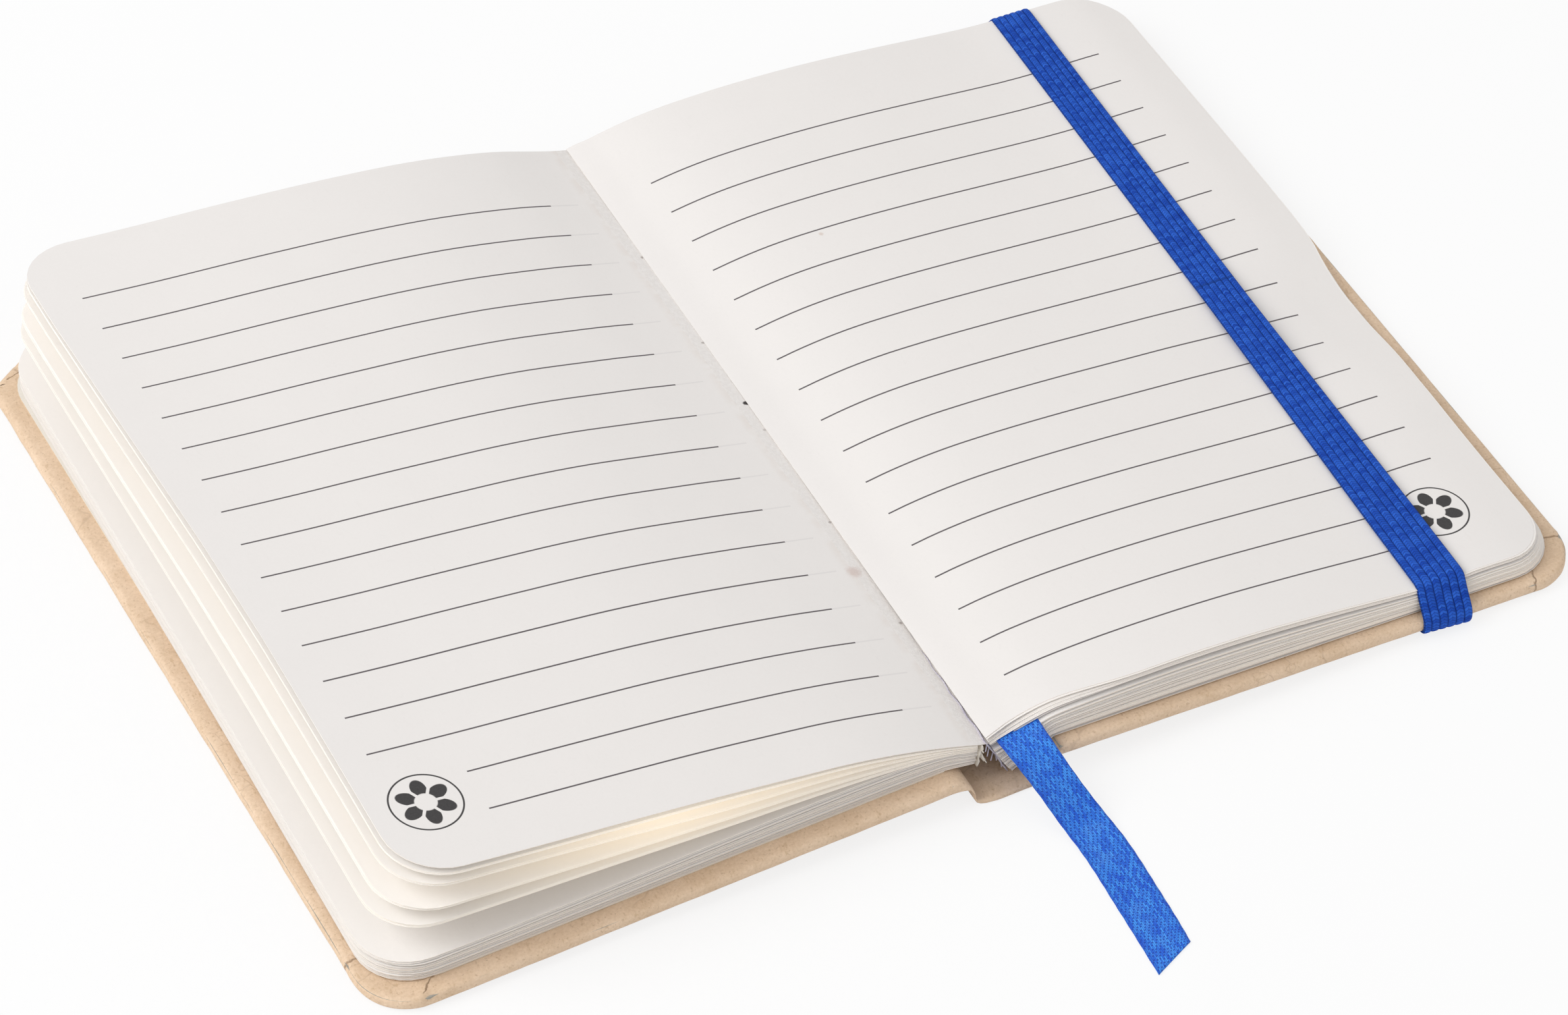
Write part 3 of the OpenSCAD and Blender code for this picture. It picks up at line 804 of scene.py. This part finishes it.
def addLeaf(stack, side, start, end, height, cream, shift=(0.0, 0.0), thick=None, spread=None, ink=None, rows=None,
            tailIn=None, lit=0.0):
    # one closed sheet; side is -1 left or 1 right, start and end are distances from the middle,
    # height(a, y) gives its top, spread(y) pushes its outer edge out, ink moves the print on it and
    # tailIn(a) draws its tail edge back; lit is how strongly it glows, a painted glow that stands in for light coming
    # through to it
    thick = thick or pageSet["leaf"]
    r, nx, ny, half = pageSet["corner"], pageSet["stepsX"], rows or pageSet["stepsY"], pageSet["half"]
    near = np.concatenate([np.linspace(0, 0.3, 16), np.linspace(0.3, 1, nx - 23)[1:]])
    a = start + near * (end - r - start)
    a = np.concatenate([a, end - r + r * np.sin(np.linspace(0, np.pi / 2, 9)[1:])])
    reach = half - r + np.sqrt(np.maximum(r * r - np.maximum(a - end + r, 0) ** 2, 0))
    away, share = np.meshgrid(a, np.linspace(-1, 1, ny), indexing="ij")
    ys = share * reach[:, None]
    if tailIn is not None:
        ys = ys + tailIn(away) * np.clip((-ys - 52) / 15, 0, 1) ** 2
    zs = height(away, ys)
    slope = np.gradient(zs, axis=0) / np.gradient(away, axis=0)
    lean = 1 / np.sqrt(1 + slope**2)
    push = 0.0 if spread is None else spread(ys) * ((away - start) / (end - start)) ** 2
    xs = side * (away + push + shift[0])
    inkX, inkY = (0.0, 0.0) if ink is None else ink(away, ys)
    ys = ys + shift[1]
    n = xs.size
    base = len(stack["verts"])
    stack["verts"] += list(np.stack([xs, ys, zs], -1).reshape(-1, 3))
    stack["verts"] += list(np.stack([xs + side * slope * lean * thick, ys, zs - thick * lean], -1).reshape(-1, 3))
    idx = np.arange(n).reshape(xs.shape) + base
    quads = np.stack([idx[:-1, :-1], idx[1:, :-1], idx[1:, 1:], idx[:-1, 1:]], -1).reshape(-1, 4)
    if side < 0:
        quads = quads[:, ::-1]
    stack["faces"] += [tuple(q) for q in quads] + [tuple(q[::-1] + n) for q in quads]
    # the cut edge has points of its own, so that it stays crisp and takes its own tone
    rim = list(idx[:, 0]) + list(idx[-1, 1:]) + list(idx[-2::-1, -1]) + list(idx[0, -2:0:-1])
    m = len(rim)
    stack["verts"] += [stack["verts"][k] for k in rim] + [stack["verts"][k + n] for k in rim]
    first = base + 2 * n
    for k in range(m):
        p, q = first + k, first + (k + 1) % m
        stack["faces"].append((q, p, p + m, q + m) if side > 0 else (p, q, q + m, p + m))
    stack["cream"] += [cream] * (2 * n + 2 * m)
    # painted glow: it fades out towards the outer edge, is weaker near the spine, and the cut edges glow a little
    # more
    glow = (lit * np.clip((84 - away) / 34, 0, 1) * np.clip((away + 2) / 50, 0.2, 1)).reshape(-1)
    stack["lit"] += list(glow) * 2 + [glow[k - base] * 1.12 for k in rim] * 2
    stack["look"] += [1 if lit else 0] * (len(stack["faces"]) - len(stack["look"]))
    tone = float(stack["chance"].uniform(0.35, 1.0))
    stack["cut"] += [0.0] * (2 * n) + [tone if k < xs.shape[0] else tone * 0.3 for k in range(m)] * 2
    # only the top face carries the print
    far = [1.0] * (n + 2 * m)
    stack["printX"] += list(((xs + inkX) * mm).reshape(-1)) + far
    stack["printY"] += list(((ys + inkY) * mm).reshape(-1)) + far


def finishStack(stack, name, look, body, node, second=None):
    piece = addMesh(name, np.array(stack["verts"]) * mm, stack["faces"],
                    attributes={key: stack[key] for key in ("cream", "cut", "lit", "printX", "printY")})
    dress(piece, look)
    if second:
        piece.data.materials.append(looks[second])
        piece.data.polygons.foreach_set("material_index", stack["look"])
    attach(piece, body)
    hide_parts(node)
    print(name, len(piece.data.polygons), "faces")
    return piece


def between(front, middle, rear):
    # height over a page from three sections, at the tail, half way and at the head
    f, m, b = smoothThrough(front), smoothThrough(middle), smoothThrough(rear)

    def value(a, y):
        s = np.clip(y / head, -1, 1)
        # a parabola through the three sections
        zf, zm, zb = f(a), m(a), b(a)
        return zm + s * (zb - zf) / 2 + s * s * ((zb + zf) / 2 - zm)
    return value


leftSet = {
    "topFront": [(0.7, 7.85), (1.6, 8.1), (4, 9.0), (10.8, 11.3), (20.8, 13.8), (30.6, 15.4), (40.3, 16.9),
                 (49.9, 18.2), (59.3, 19.4), (68.7, 20.6), (78, 21.9), (86, 23.0)],
    "topMiddle": [(0.7, 8.7), (1.6, 8.9), (4, 9.5), (10, 11.1), (15, 12.5), (20, 13.8), (30, 16.3), (40, 18.2),
                  (50, 19.6), (60, 20.9), (70, 22.1), (78, 23.2), (86, 24.4)],
    "topRear": [(0.7, 8.45), (1.6, 8.7), (3.2, 9.2), (7.5, 10.8), (11.7, 12.4), (20.2, 14.8), (28, 16.4),
                (37, 17.7), (53.6, 19.5), (70, 20.9), (82.2, 22.2), (86, 22.6)],
    # fans below the top one, at the tail: (distance, height), how much they follow the top leaf's bow
    "fans": [
        {"leaves": 4, "edge": 86.0, "follow": 0.9, "cream": 0.6, "outward": 2.6, "lit": 0.19,
         "front": [(2.5, 8.1), (4, 8.7), (10.8, 10.9), (20.8, 13.3), (30.6, 14.8), (40.3, 16.2), (55, 18.1),
                   (73.5, 20.4), (86.5, 22.1)]},
        {"leaves": 5, "edge": 86.8, "follow": 0.75, "cream": 0.8, "outward": 2.4, "lit": 0.18,
         "front": [(2.5, 7.9), (4, 8.4), (10, 10.2), (18, 11.9), (25.7, 12.9), (40.3, 14.3), (56, 16.5), (73.5, 18.8),
                   (87.5, 20.4)]},
        {"leaves": 5, "edge": 88.1, "follow": 0.5, "cream": 0.9, "outward": 1.9, "lit": 0.15,
         "front": [(2.5, 7.6), (4, 8.1), (10, 9.75), (18, 10.8), (25.7, 11.5), (40.3, 12.4), (56, 13.5), (73.5, 14.9),
                   (89, 16.0)]},
        {"leaves": 4, "edge": 89.1, "follow": 0.35, "cream": 1.0, "outward": 1.2, "lit": 0.08,
         "front": [(2.5, 7.3), (4, 7.8), (10, 9.2), (18, 10.0), (25.7, 10.4), (40.3, 10.9), (56, 11.6), (73.5, 12.3),
                   (90, 13.1)]},
    ],
    "block": {"leaves": 24, "edge": 90.6,
              "top": [(2.6, 7.0), (4, 7.5), (5.8, 8.2), (10, 8.9), (18, 9.1), (25.7, 8.9), (40.3, 8.2), (56, 7.3),
                      (68.6, 6.7), (77, 6.4), (84, 6.3), (91.5, 6.1)]},
    "foot": (2.75, 4.7),
}


def makeLeftPages():
    stack = newStack(23)
    top = between(leftSet["topFront"], leftSet["topMiddle"], leftSet["topRear"])
    frontTop = smoothThrough(leftSet["topFront"])

    def outward(amount):
        # towards the head the leaves fan further out over the cover
        return lambda y: np.interp(y, [-67, -20, 0, 25, 50, 67], [0, 0.12 * amount, 0.3 * amount, 0.66 * amount,
                                                                  0.95 * amount, amount])

    def ink(a, y):
        lift = np.interp(y, [-40, -26, 45, 56], [0.08, -0.42, -0.42, -0.42])
        return 0.025 * np.maximum(y - 15, 0) * a / 86, lift - 0.5 * np.clip((y - 45) / 8, 0, 1) * a / 86
    addLeaf(stack, -1, 0.7, 85.6, top, 0.0, thick=0.11, spread=outward(2.9), ink=ink, rows=37)
    chance = np.random.default_rng(7)
    for fan in leftSet["fans"]:
        front = smoothThrough(fan["front"])
        for i in range(fan["leaves"]):
            drop = i * 0.105
            start = 2.3 + 0.05 * i

            def height(a, y, front=front, drop=drop, follow=fan["follow"]):
                bow = (top(a, y) - frontTop(a)) * follow
                return front(a) + bow - drop * np.clip((a - 2) / 12, 0.3, 1)
            addLeaf(stack, -1, start, fan["edge"] + chance.normal(0, 0.12), height, fan["cream"],
                    shift=(0, chance.normal(0, 0.10)), spread=outward(fan["outward"]), lit=fan["lit"])
    blockTop = smoothThrough(leftSet["block"]["top"])
    count = leftSet["block"]["leaves"]
    tilt = coverSet["rise"] / 86.3
    shares = np.cumsum(chance.uniform(0.6, 1.4, count) + (chance.random(count) < 0.12) * 1.0)
    shares = (shares - shares[0]) / (shares[-1] - shares[0])
    for i in range(count):
        f = shares[i]
        start = 2.3 + (leftSet["foot"][0] - 2.3) * f

        def height(a, y, f=f):
            floor = np.where(a > 7.2, (coverSet["reach"] - a) * tilt + coverSet["stack"],
                             np.interp(a, [2.5, 7.2], [4.85, 5.72]))
            bow = (top(a, y) - frontTop(a)) * 0.12 * (1 - f)
            return blockTop(a) * (1 - f) + f * floor + bow
        addLeaf(stack, -1, start, leftSet["block"]["edge"] + chance.normal(0, 0.13), height,
                0.35 + 0.2 * chance.random(), shift=(0, chance.normal(0, 0.13)), spread=outward(0.7))
    return finishStack(stack, "leftLeaves", "leftPage", "front_half", "left_pages", "fannedPage")


rightSet = {
    "topFront": [(-1.1, 8.9), (0.4, 9.3), (2.2, 9.5), (5, 10.0), (9.3, 10.7), (14, 11.0), (19.4, 11.15), (27.6, 11.1),
                 (40, 10.4), (50.6, 9.2), (60, 7.9), (66.4, 7.0), (72, 6.5), (77.4, 6.6), (84, 6.2), (91.5, 5.1)],
    "topMiddle": [(-1.1, 9.0), (0.4, 9.1), (2.2, 9.1), (5, 9.4), (10, 10.2), (15, 10.7), (20, 10.85), (25, 10.7),
                  (40, 9.6), (50, 8.6), (60, 7.6), (66, 7.0), (72, 6.5), (79, 6.2), (84, 5.8), (91.5, 4.9)],
    "topRear": [(-1.1, 8.8), (0.4, 9.1), (2.2, 9.3), (5, 9.9), (10, 10.7), (15, 11.1), (20, 11.2), (27, 11.1),
                (40, 10.3), (50, 9.2), (60, 7.9), (66, 7.1), (72, 6.6), (77, 6.4), (84, 5.9), (91.5, 4.7)],
    "leaves": 44, "edge": 91.0, "gutter": (-1.1, 8.7), "foot": (2.6, 1.7),
    # how far the upper leaves' tail edges stand back, by distance from the middle
    "tailBack": [(-1, 0.2), (0, 0.35), (1, 0.6), (2.3, 0.95), (4.3, 1.2), (6.5, 1.32), (9, 1.25), (11.5, 1.1),
                 (14, 0.8), (16.5, 0.5), (19, 0.22), (22, 0.0), (92, 0.0)],
    # along the leaf: how far the outer part lifts, and where the top leaf's outer edge lies
    "wave": [(-70, 0), (-40, 0), (-30, 0.4), (-24, 0.1), (-17.5, -0.7), (-11, -1.2), (-3, -0.6), (4.5, 0.4),
             (12, 0.6), (67, 0.6)],
    "edges": [(-67, 89.6), (-40, 89.7), (-30, 89.6), (-20, 90.0), (-11, 90.1), (-5, 90.2), (-1, 90.5), (3, 91.0),
              (10, 91.2), (67, 91.2)],
}


def makeRightPages():
    stack = newStack(29)
    plain = between(rightSet["topFront"], rightSet["topMiddle"], rightSet["topRear"])
    waveLine = smoothThrough(rightSet["wave"])

    def top(a, y):
        # the outer part lifts towards the head and sags a little past the middle
        outer = np.clip((a - 58) / 28, 0, 1) ** 1.5
        wave = waveLine(y)
        return plain(a, y) + outer * wave

    def ink(a, y):
        pull = np.interp(y, [-40, -30, -17.5, -11, -3, 4.5], [0, 0.5, 1.1, 1.4, 0.8, 0])
        low = -0.3 * np.clip((-y - 40) / 20, 0, 1) * np.clip(1 - a / 30, 0, 1)
        return pull * np.clip((a - 50) / 32, 0, 1.2), low
    chance = np.random.default_rng(11)
    count = rightSet["leaves"]
    shares = np.cumsum(chance.uniform(0.55, 1.35, count) + (chance.random(count) < 0.14) * 1.5)
    shares = (shares - shares[0]) / (shares[-1] - shares[0])
    shares = np.where(shares > 0.19, 0.05 + shares * 0.95, shares)        # the ribbon lies in this gap
    shares[:-2] = np.where(shares[:-2] > 0.8, 0.8 + (shares[:-2] - 0.8) * 0.62, shares[:-2])
    shares[-2] = 0.985                                                    # a thin gap over the last two
    tilt = coverSet["rise"] / 84.7
    edges = rightSet["edges"]
    for i in range(count):
        f = shares[i]
        start = rightSet["gutter"][0] * (1 - f) + rightSet["foot"][0] * f

        def height(a, y, f=f):
            floor = np.where(a > 8.8, (coverSet["reach"] - a) * tilt + coverSet["stack"],
                             np.interp(a, [-1.1, 2.6, 5.6, 7.5, 8.8], [-1.0, 1.75, 3.75, 5.0, 5.72]))
            return top(a, y) * (1 - f) + f * floor

        def spread(y, f=f):
            return (np.interp(y, [q[0] for q in edges], [q[1] for q in edges]) - rightSet["edge"]) * (1 - f)

        def tailIn(a, f=f):
            back = np.interp(a, [q[0] for q in rightSet["tailBack"]], [q[1] for q in rightSet["tailBack"]])
            return back * max(0.0, 1 - f / 0.2)
        # the lower leaves have crept forward under the band, as the tail edge shows
        creep = -0.9 * min(1.0, f * 1.6)
        addLeaf(stack, 1, start, rightSet["edge"] + chance.normal(0, 0.08), height,
                0.0 if i == 0 else 0.25 + 0.3 * chance.random(),
                shift=(0, chance.normal(0, 0.09) + (creep if i else 0)), thick=0.11 if i == 0 else None,
                spread=spread, ink=ink if i == 0 else None, rows=49 if i < 7 else None,
                tailIn=tailIn if f < 0.2 else None)
    return finishStack(stack, "rightLeaves", "rightPage", "back_half", "right_pages")


makeLeftPages()
makeRightPages()


# torn linings on the spine edges
liningSet = {"left": {"top": (-2.0, 8.0), "foot": (-2.75, 4.5), "side": 1, "rag": 0.4, "shreds": 5},
             "right": {"top": (-0.9, 8.3), "foot": (2.5, 1.35), "side": -1, "rag": 0.6, "shreds": 5}}


def makeLining(key, look, body, node):
    s = liningSet[key]
    rng = np.random.default_rng(3 if key == "left" else 5)
    ys = np.linspace(tail - 0.2, head, 260)
    rag = np.convolve(rng.normal(0, 1, len(ys) + 8), np.ones(5) / 5, "valid")[:len(ys)] * s["rag"]
    cross = np.linspace(0, 1, 9)
    verts = []
    for j, y in enumerate(ys):
        for c in cross:
            x = s["top"][0] + (s["foot"][0] - s["top"][0]) * c + s["side"] * 0.12 * math.sin(c * 9 + y * 1.3)
            z = s["top"][1] + (s["foot"][1] - s["top"][1]) * c
            if c > 0.9:
                z += rag[j] * 0.6
                x += s["side"] * abs(rag[j]) * 0.5
            ragged = abs(rag[(j * 7 + int(c * 24)) % len(ys)]) * 1.1 if j == 0 else 0.0
            verts.append((x + s["side"] * 0.22, y - ragged, max(z, 1.15)))
    n = len(cross)
    faces = [(j * n + k, j * n + k + 1, (j + 1) * n + k + 1, (j + 1) * n + k)
             for j in range(len(ys) - 1) for k in range(n - 1)]
    # loose shreds at the tail end
    for _ in range(s["shreds"]):
        c = rng.uniform(0.1, 0.95)
        x = s["top"][0] + (s["foot"][0] - s["top"][0]) * c + s["side"] * 0.25
        z = s["top"][1] + (s["foot"][1] - s["top"][1]) * c
        go = np.array([s["side"] * rng.uniform(0.05, 0.8), -rng.uniform(0.5, 1.0), rng.uniform(-0.6, 0.3)])
        long, wide, first = rng.uniform(0.4, 1.0), rng.uniform(0.25, 0.5), len(verts)
        for k in range(6):
            t = k / 5
            mid = np.array([x, tail + 0.3, z]) + go * (long + 0.3) * t + np.array([0, 0, -0.5 * t * t])
            half = wide * (1 - 0.75 * t) / 2
            verts += [(mid[0], mid[1], max(mid[2] - half, 1.1)),
                      (mid[0] + 0.1 * t, mid[1], max(mid[2] + half, 1.2))]
        faces += [(first + 2 * k, first + 2 * k + 2, first + 2 * k + 3, first + 2 * k + 1) for k in range(5)]
    if s["side"] > 0:
        faces = [f[::-1] for f in faces]
    piece = addMesh(key + "Lining", np.array(verts) * mm, faces)
    wall = piece.modifiers.new("paper", "SOLIDIFY")
    wall.thickness = 0.16 * mm
    wall.offset = 0
    with bpy.context.temp_override(object=piece, active_object=piece):
        bpy.ops.object.modifier_apply(modifier="paper")
    dress(piece, look)
    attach(piece, body)
    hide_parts(node)


makeLining("left", "leftLining", "front_half", "left_spine_lining")
makeLining("right", "rightLining", "back_half", "right_spine_lining")
print("linings")


# elastic band
bandSet = {"width": 6.3, "thick": 0.62, "ribs": 6, "ribDepth": 0.2, "in": 21.35, "skew": 1.7, "pageUp": 5.95,
           # how much wider it is, by place along the spine
           "widen": [(-70, 1.2), (-55, 1.18), (-38, 1.12), (-5, 1.0), (70, 1.0)]}


def bandTree():
    # sweeps a ribbed section along the curve it is given
    tree = bpy.data.node_groups.new("ribbedBand", "GeometryNodeTree")
    face = tree.interface
    face.new_socket("Geometry", in_out="INPUT", socket_type="NodeSocketGeometry")
    ids = {}
    for label, kind, value in (("Width", "NodeSocketFloat", 0.007), ("Thickness", "NodeSocketFloat", 0.0006),
                               ("Ribs", "NodeSocketFloat", 6.0), ("Rib Depth", "NodeSocketFloat", 0.0002),
                               ("Steps", "NodeSocketInt", 120), ("Material", "NodeSocketMaterial", None)):
        socket = face.new_socket(label, in_out="INPUT", socket_type=kind)
        if value is not None:
            socket.default_value = value
        ids[label] = socket.identifier
    face.new_socket("Geometry", in_out="OUTPUT", socket_type="NodeSocketGeometry")
    nodes, links = tree.nodes, tree.links
    start, end = nodes.new("NodeGroupInput"), nodes.new("NodeGroupOutput")
    circle = nodes.new("GeometryNodeCurvePrimitiveCircle")
    links.new(start.outputs["Steps"], circle.inputs["Resolution"])
    share = nodes.new("GeometryNodeSplineParameter").outputs["Factor"]
    # the first half of the ring runs over the top, the second half back underneath
    above = calc(tree, "LESS_THAN", share, 0.5)
    sign = minus(tree, times(tree, above, 2.0), 1.0)
    part = calc(tree, "FRACT", times(tree, share, 2.0))
    acrossTop = minus(tree, part, 0.5)
    x = times(tree, times(tree, acrossTop, sign), start.outputs["Width"])
    turned = times(tree, times(tree, part, math.pi), start.outputs["Ribs"])
    wave = calc(tree, "ABSOLUTE", calc(tree, "SINE", turned))
    swell = times(tree, calc(tree, "SQRT", wave), start.outputs["Rib Depth"])
    body = minus(tree, times(tree, start.outputs["Thickness"], 0.5), start.outputs["Rib Depth"])
    y = times(tree, plus(tree, body, swell), sign)
    point = nodes.new("ShaderNodeCombineXYZ")
    links.new(x, point.inputs[0])
    links.new(y, point.inputs[1])
    place = nodes.new("GeometryNodeSetPosition")
    links.new(circle.outputs["Curve"], place.inputs["Geometry"])
    links.new(point.outputs[0], place.inputs["Position"])
    across = nodes.new("GeometryNodeStoreNamedAttribute")
    across.data_type, across.domain = "FLOAT", "POINT"
    across.inputs["Name"].default_value = "across"
    links.new(place.outputs[0], across.inputs["Geometry"])
    links.new(part, across.inputs["Value"])
    along = nodes.new("GeometryNodeStoreNamedAttribute")
    along.data_type, along.domain = "FLOAT", "POINT"
    along.inputs["Name"].default_value = "along"
    links.new(start.outputs["Geometry"], along.inputs["Geometry"])
    links.new(nodes.new("GeometryNodeSplineParameter").outputs["Length"], along.inputs["Value"])
    sweep = nodes.new("GeometryNodeCurveToMesh")
    links.new(along.outputs[0], sweep.inputs["Curve"])
    links.new(across.outputs[0], sweep.inputs["Profile Curve"])
    real = nodes.new("GeometryNodeRealizeInstances")
    links.new(sweep.outputs[0], real.inputs[0])
    paint = nodes.new("GeometryNodeSetMaterial")
    links.new(real.outputs[0], paint.inputs["Geometry"])
    links.new(start.outputs["Material"], paint.inputs["Material"])
    links.new(paint.outputs[0], end.inputs[0])
    return tree, ids


def makeBand():
    s = bandSet
    e, u, p = 70.3 + s["thick"] / 2, s["pageUp"] + s["thick"] / 2, 66.5
    low = -s["thick"] / 2 + 0.02
    # half of the loop round cover and pages, from the middle of the top to the middle underneath
    corners = [(0, u), (p - 3, u), (p + 0.2, u - 0.02), (p + 0.75, u - 0.3), (p + 1.25, u - 1.1),
               (e - 1.3, 3.3), (e - 0.35, 2.4), (e - 0.05, 1.5), (e, 0.5), (e - 0.35, 0.0), (e - 0.9, low),
               (e - 3, low), (0, low)]
    ring = corners + [(-y, z) for y, z in reversed(corners[1:-1])]
    dense = []
    for i, (y, z) in enumerate(ring):
        y2, z2 = ring[(i + 1) % len(ring)]
        gap = math.hypot(y2 - y, z2 - z)
        steps = max(2, int(gap / 0.5))
        dense += [(y + (y2 - y) * k / steps, z + (z2 - z) * k / steps) for k in range(steps)]
    path = np.array(dense)
    for _ in range(2):
        path = (np.roll(path, 1, 0) + path * 2 + np.roll(path, -1, 0)) / 4
    tilt = math.asin(coverSet["rise"] / 84.7)
    place = (Matrix.Translation((coverSet["reach"], 0, 0)) @ Matrix.Rotation(tilt, 4, "Y")
             @ Matrix.Translation((-s["in"], 0, 0)) @ Matrix.Rotation(math.radians(-s["skew"]), 4, "Z"))
    curve = bpy.data.curves.new("bandLine", "CURVE")
    curve.dimensions = "3D"
    curve.twist_mode = "MINIMUM"
    spline = curve.splines.new("POLY")
    spline.points.add(len(path) - 1)
    for point, (y, z) in zip(spline.points, path):
        q = place @ Vector((0, y, z))
        point.co = (q.x * mm, q.y * mm, q.z * mm, 1)
    spline.use_cyclic_u = True
    guide = bpy.data.objects.new("bandLine", curve)
    scene.collection.objects.link(guide)
    tree, ids = bandTree()
    sweep = guide.modifiers.new("ribbedBand", "NODES")
    sweep.node_group = tree
    for label, value in (("Width", s["width"] * mm), ("Thickness", s["thick"] * mm), ("Ribs", float(s["ribs"])),
                         ("Rib Depth", s["ribDepth"] * mm), ("Steps", 120), ("Material", looks["elastic"])):
        sweep[ids[label]] = value
    bpy.context.view_layer.update()
    mesh = bpy.data.meshes.new_from_object(guide.evaluated_get(bpy.context.evaluated_depsgraph_get()))
    bpy.data.objects.remove(guide)
    # it is wider towards the tail
    spots = np.empty(len(mesh.vertices) * 3)
    mesh.vertices.foreach_get("co", spots)
    metre = place.copy()
    metre.translation = place.translation * mm
    frameOf = np.array(metre)
    local = (spots.reshape(-1, 3) - frameOf[:3, 3]) @ frameOf[:3, :3]
    local[:, 0] *= np.interp(local[:, 1] / mm, [w[0] for w in s["widen"]], [w[1] for w in s["widen"]])
    mesh.vertices.foreach_set("co", (local @ frameOf[:3, :3].T + frameOf[:3, 3]).reshape(-1))
    mesh.update()
    piece = bpy.data.objects.new("elasticBand", mesh)
    scene.collection.objects.link(piece)
    mesh.polygons.foreach_set("use_smooth", [True] * len(mesh.polygons))
    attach(piece, "back_half")
    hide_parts("elastic_band")
    print("band", len(mesh.polygons), [a.name for a in mesh.attributes])


makeBand()


# floor and light
def seenRays(tree):
    # 1 for camera, glossy and transmission rays
    rays = tree.nodes.new("ShaderNodeLightPath")
    straight = calc(tree, "MAXIMUM", rays.outputs["Is Camera Ray"], rays.outputs["Is Glossy Ray"])
    return calc(tree, "MAXIMUM", straight, rays.outputs["Is Transmission Ray"])


def makeStage():
    floorMesh = bpy.data.meshes.new("tableTop")
    floorMesh.from_pydata([(-3, -3, 0), (3, -3, 0), (3, 3, 0), (-3, 3, 0)], [], [(0, 1, 2, 3)])
    floor = bpy.data.objects.new("tableTop", floorMesh)
    scene.collection.objects.link(floor)
    white = bpy.data.materials.new("whiteTable")
    white.use_nodes = True
    tree = white.node_tree
    tree.nodes.clear()
    out = tree.nodes.new("ShaderNodeOutputMaterial")
    matt = tree.nodes.new("ShaderNodeBsdfDiffuse")
    matt.inputs["Color"].default_value = (0.9, 0.9, 0.9, 1)
    glow = tree.nodes.new("ShaderNodeEmission")
    glow.inputs["Strength"].default_value = 1.0
    part = tree.nodes.new("ShaderNodeMixShader")
    part.inputs[0].default_value = 0.8
    tree.links.new(matt.outputs[0], part.inputs[1])
    tree.links.new(glow.outputs[0], part.inputs[2])
    seen = seenRays(tree)
    both = tree.nodes.new("ShaderNodeMixShader")
    tree.links.new(seen, both.inputs[0])
    tree.links.new(matt.outputs[0], both.inputs[1])
    tree.links.new(part.outputs[0], both.inputs[2])
    tree.links.new(both.outputs[0], out.inputs[0])
    floorMesh.materials.append(white)
    world = bpy.data.worlds.new("studio")
    world.use_nodes = True
    tree = world.node_tree
    sky = tree.nodes["Background"]
    sky.inputs["Color"].default_value = (1, 1, 1, 1)
    seen = seenRays(tree)
    tree.links.new(plus(tree, 0.635, times(tree, seen, 0.365)), sky.inputs["Strength"])
    scene.world = world
    for name, place, power, size in (("keyLight", (-1.02, 0.2, 0.95), 11.2, 0.9),
                                     ("fillLight", (0.5, -1.1, 0.8), 1.7, 1.4)):
        lampData = bpy.data.lights.new(name, "AREA")
        lampData.energy = power
        lampData.size = size
        lamp = bpy.data.objects.new(name, lampData)
        lamp.location = place
        aim = -Vector(place)
        lamp.rotation_euler = aim.to_track_quat("-Z", "Y").to_euler()
        scene.collection.objects.link(lamp)
    scene.view_settings.view_transform = "Standard"
    print("stage")


makeStage()
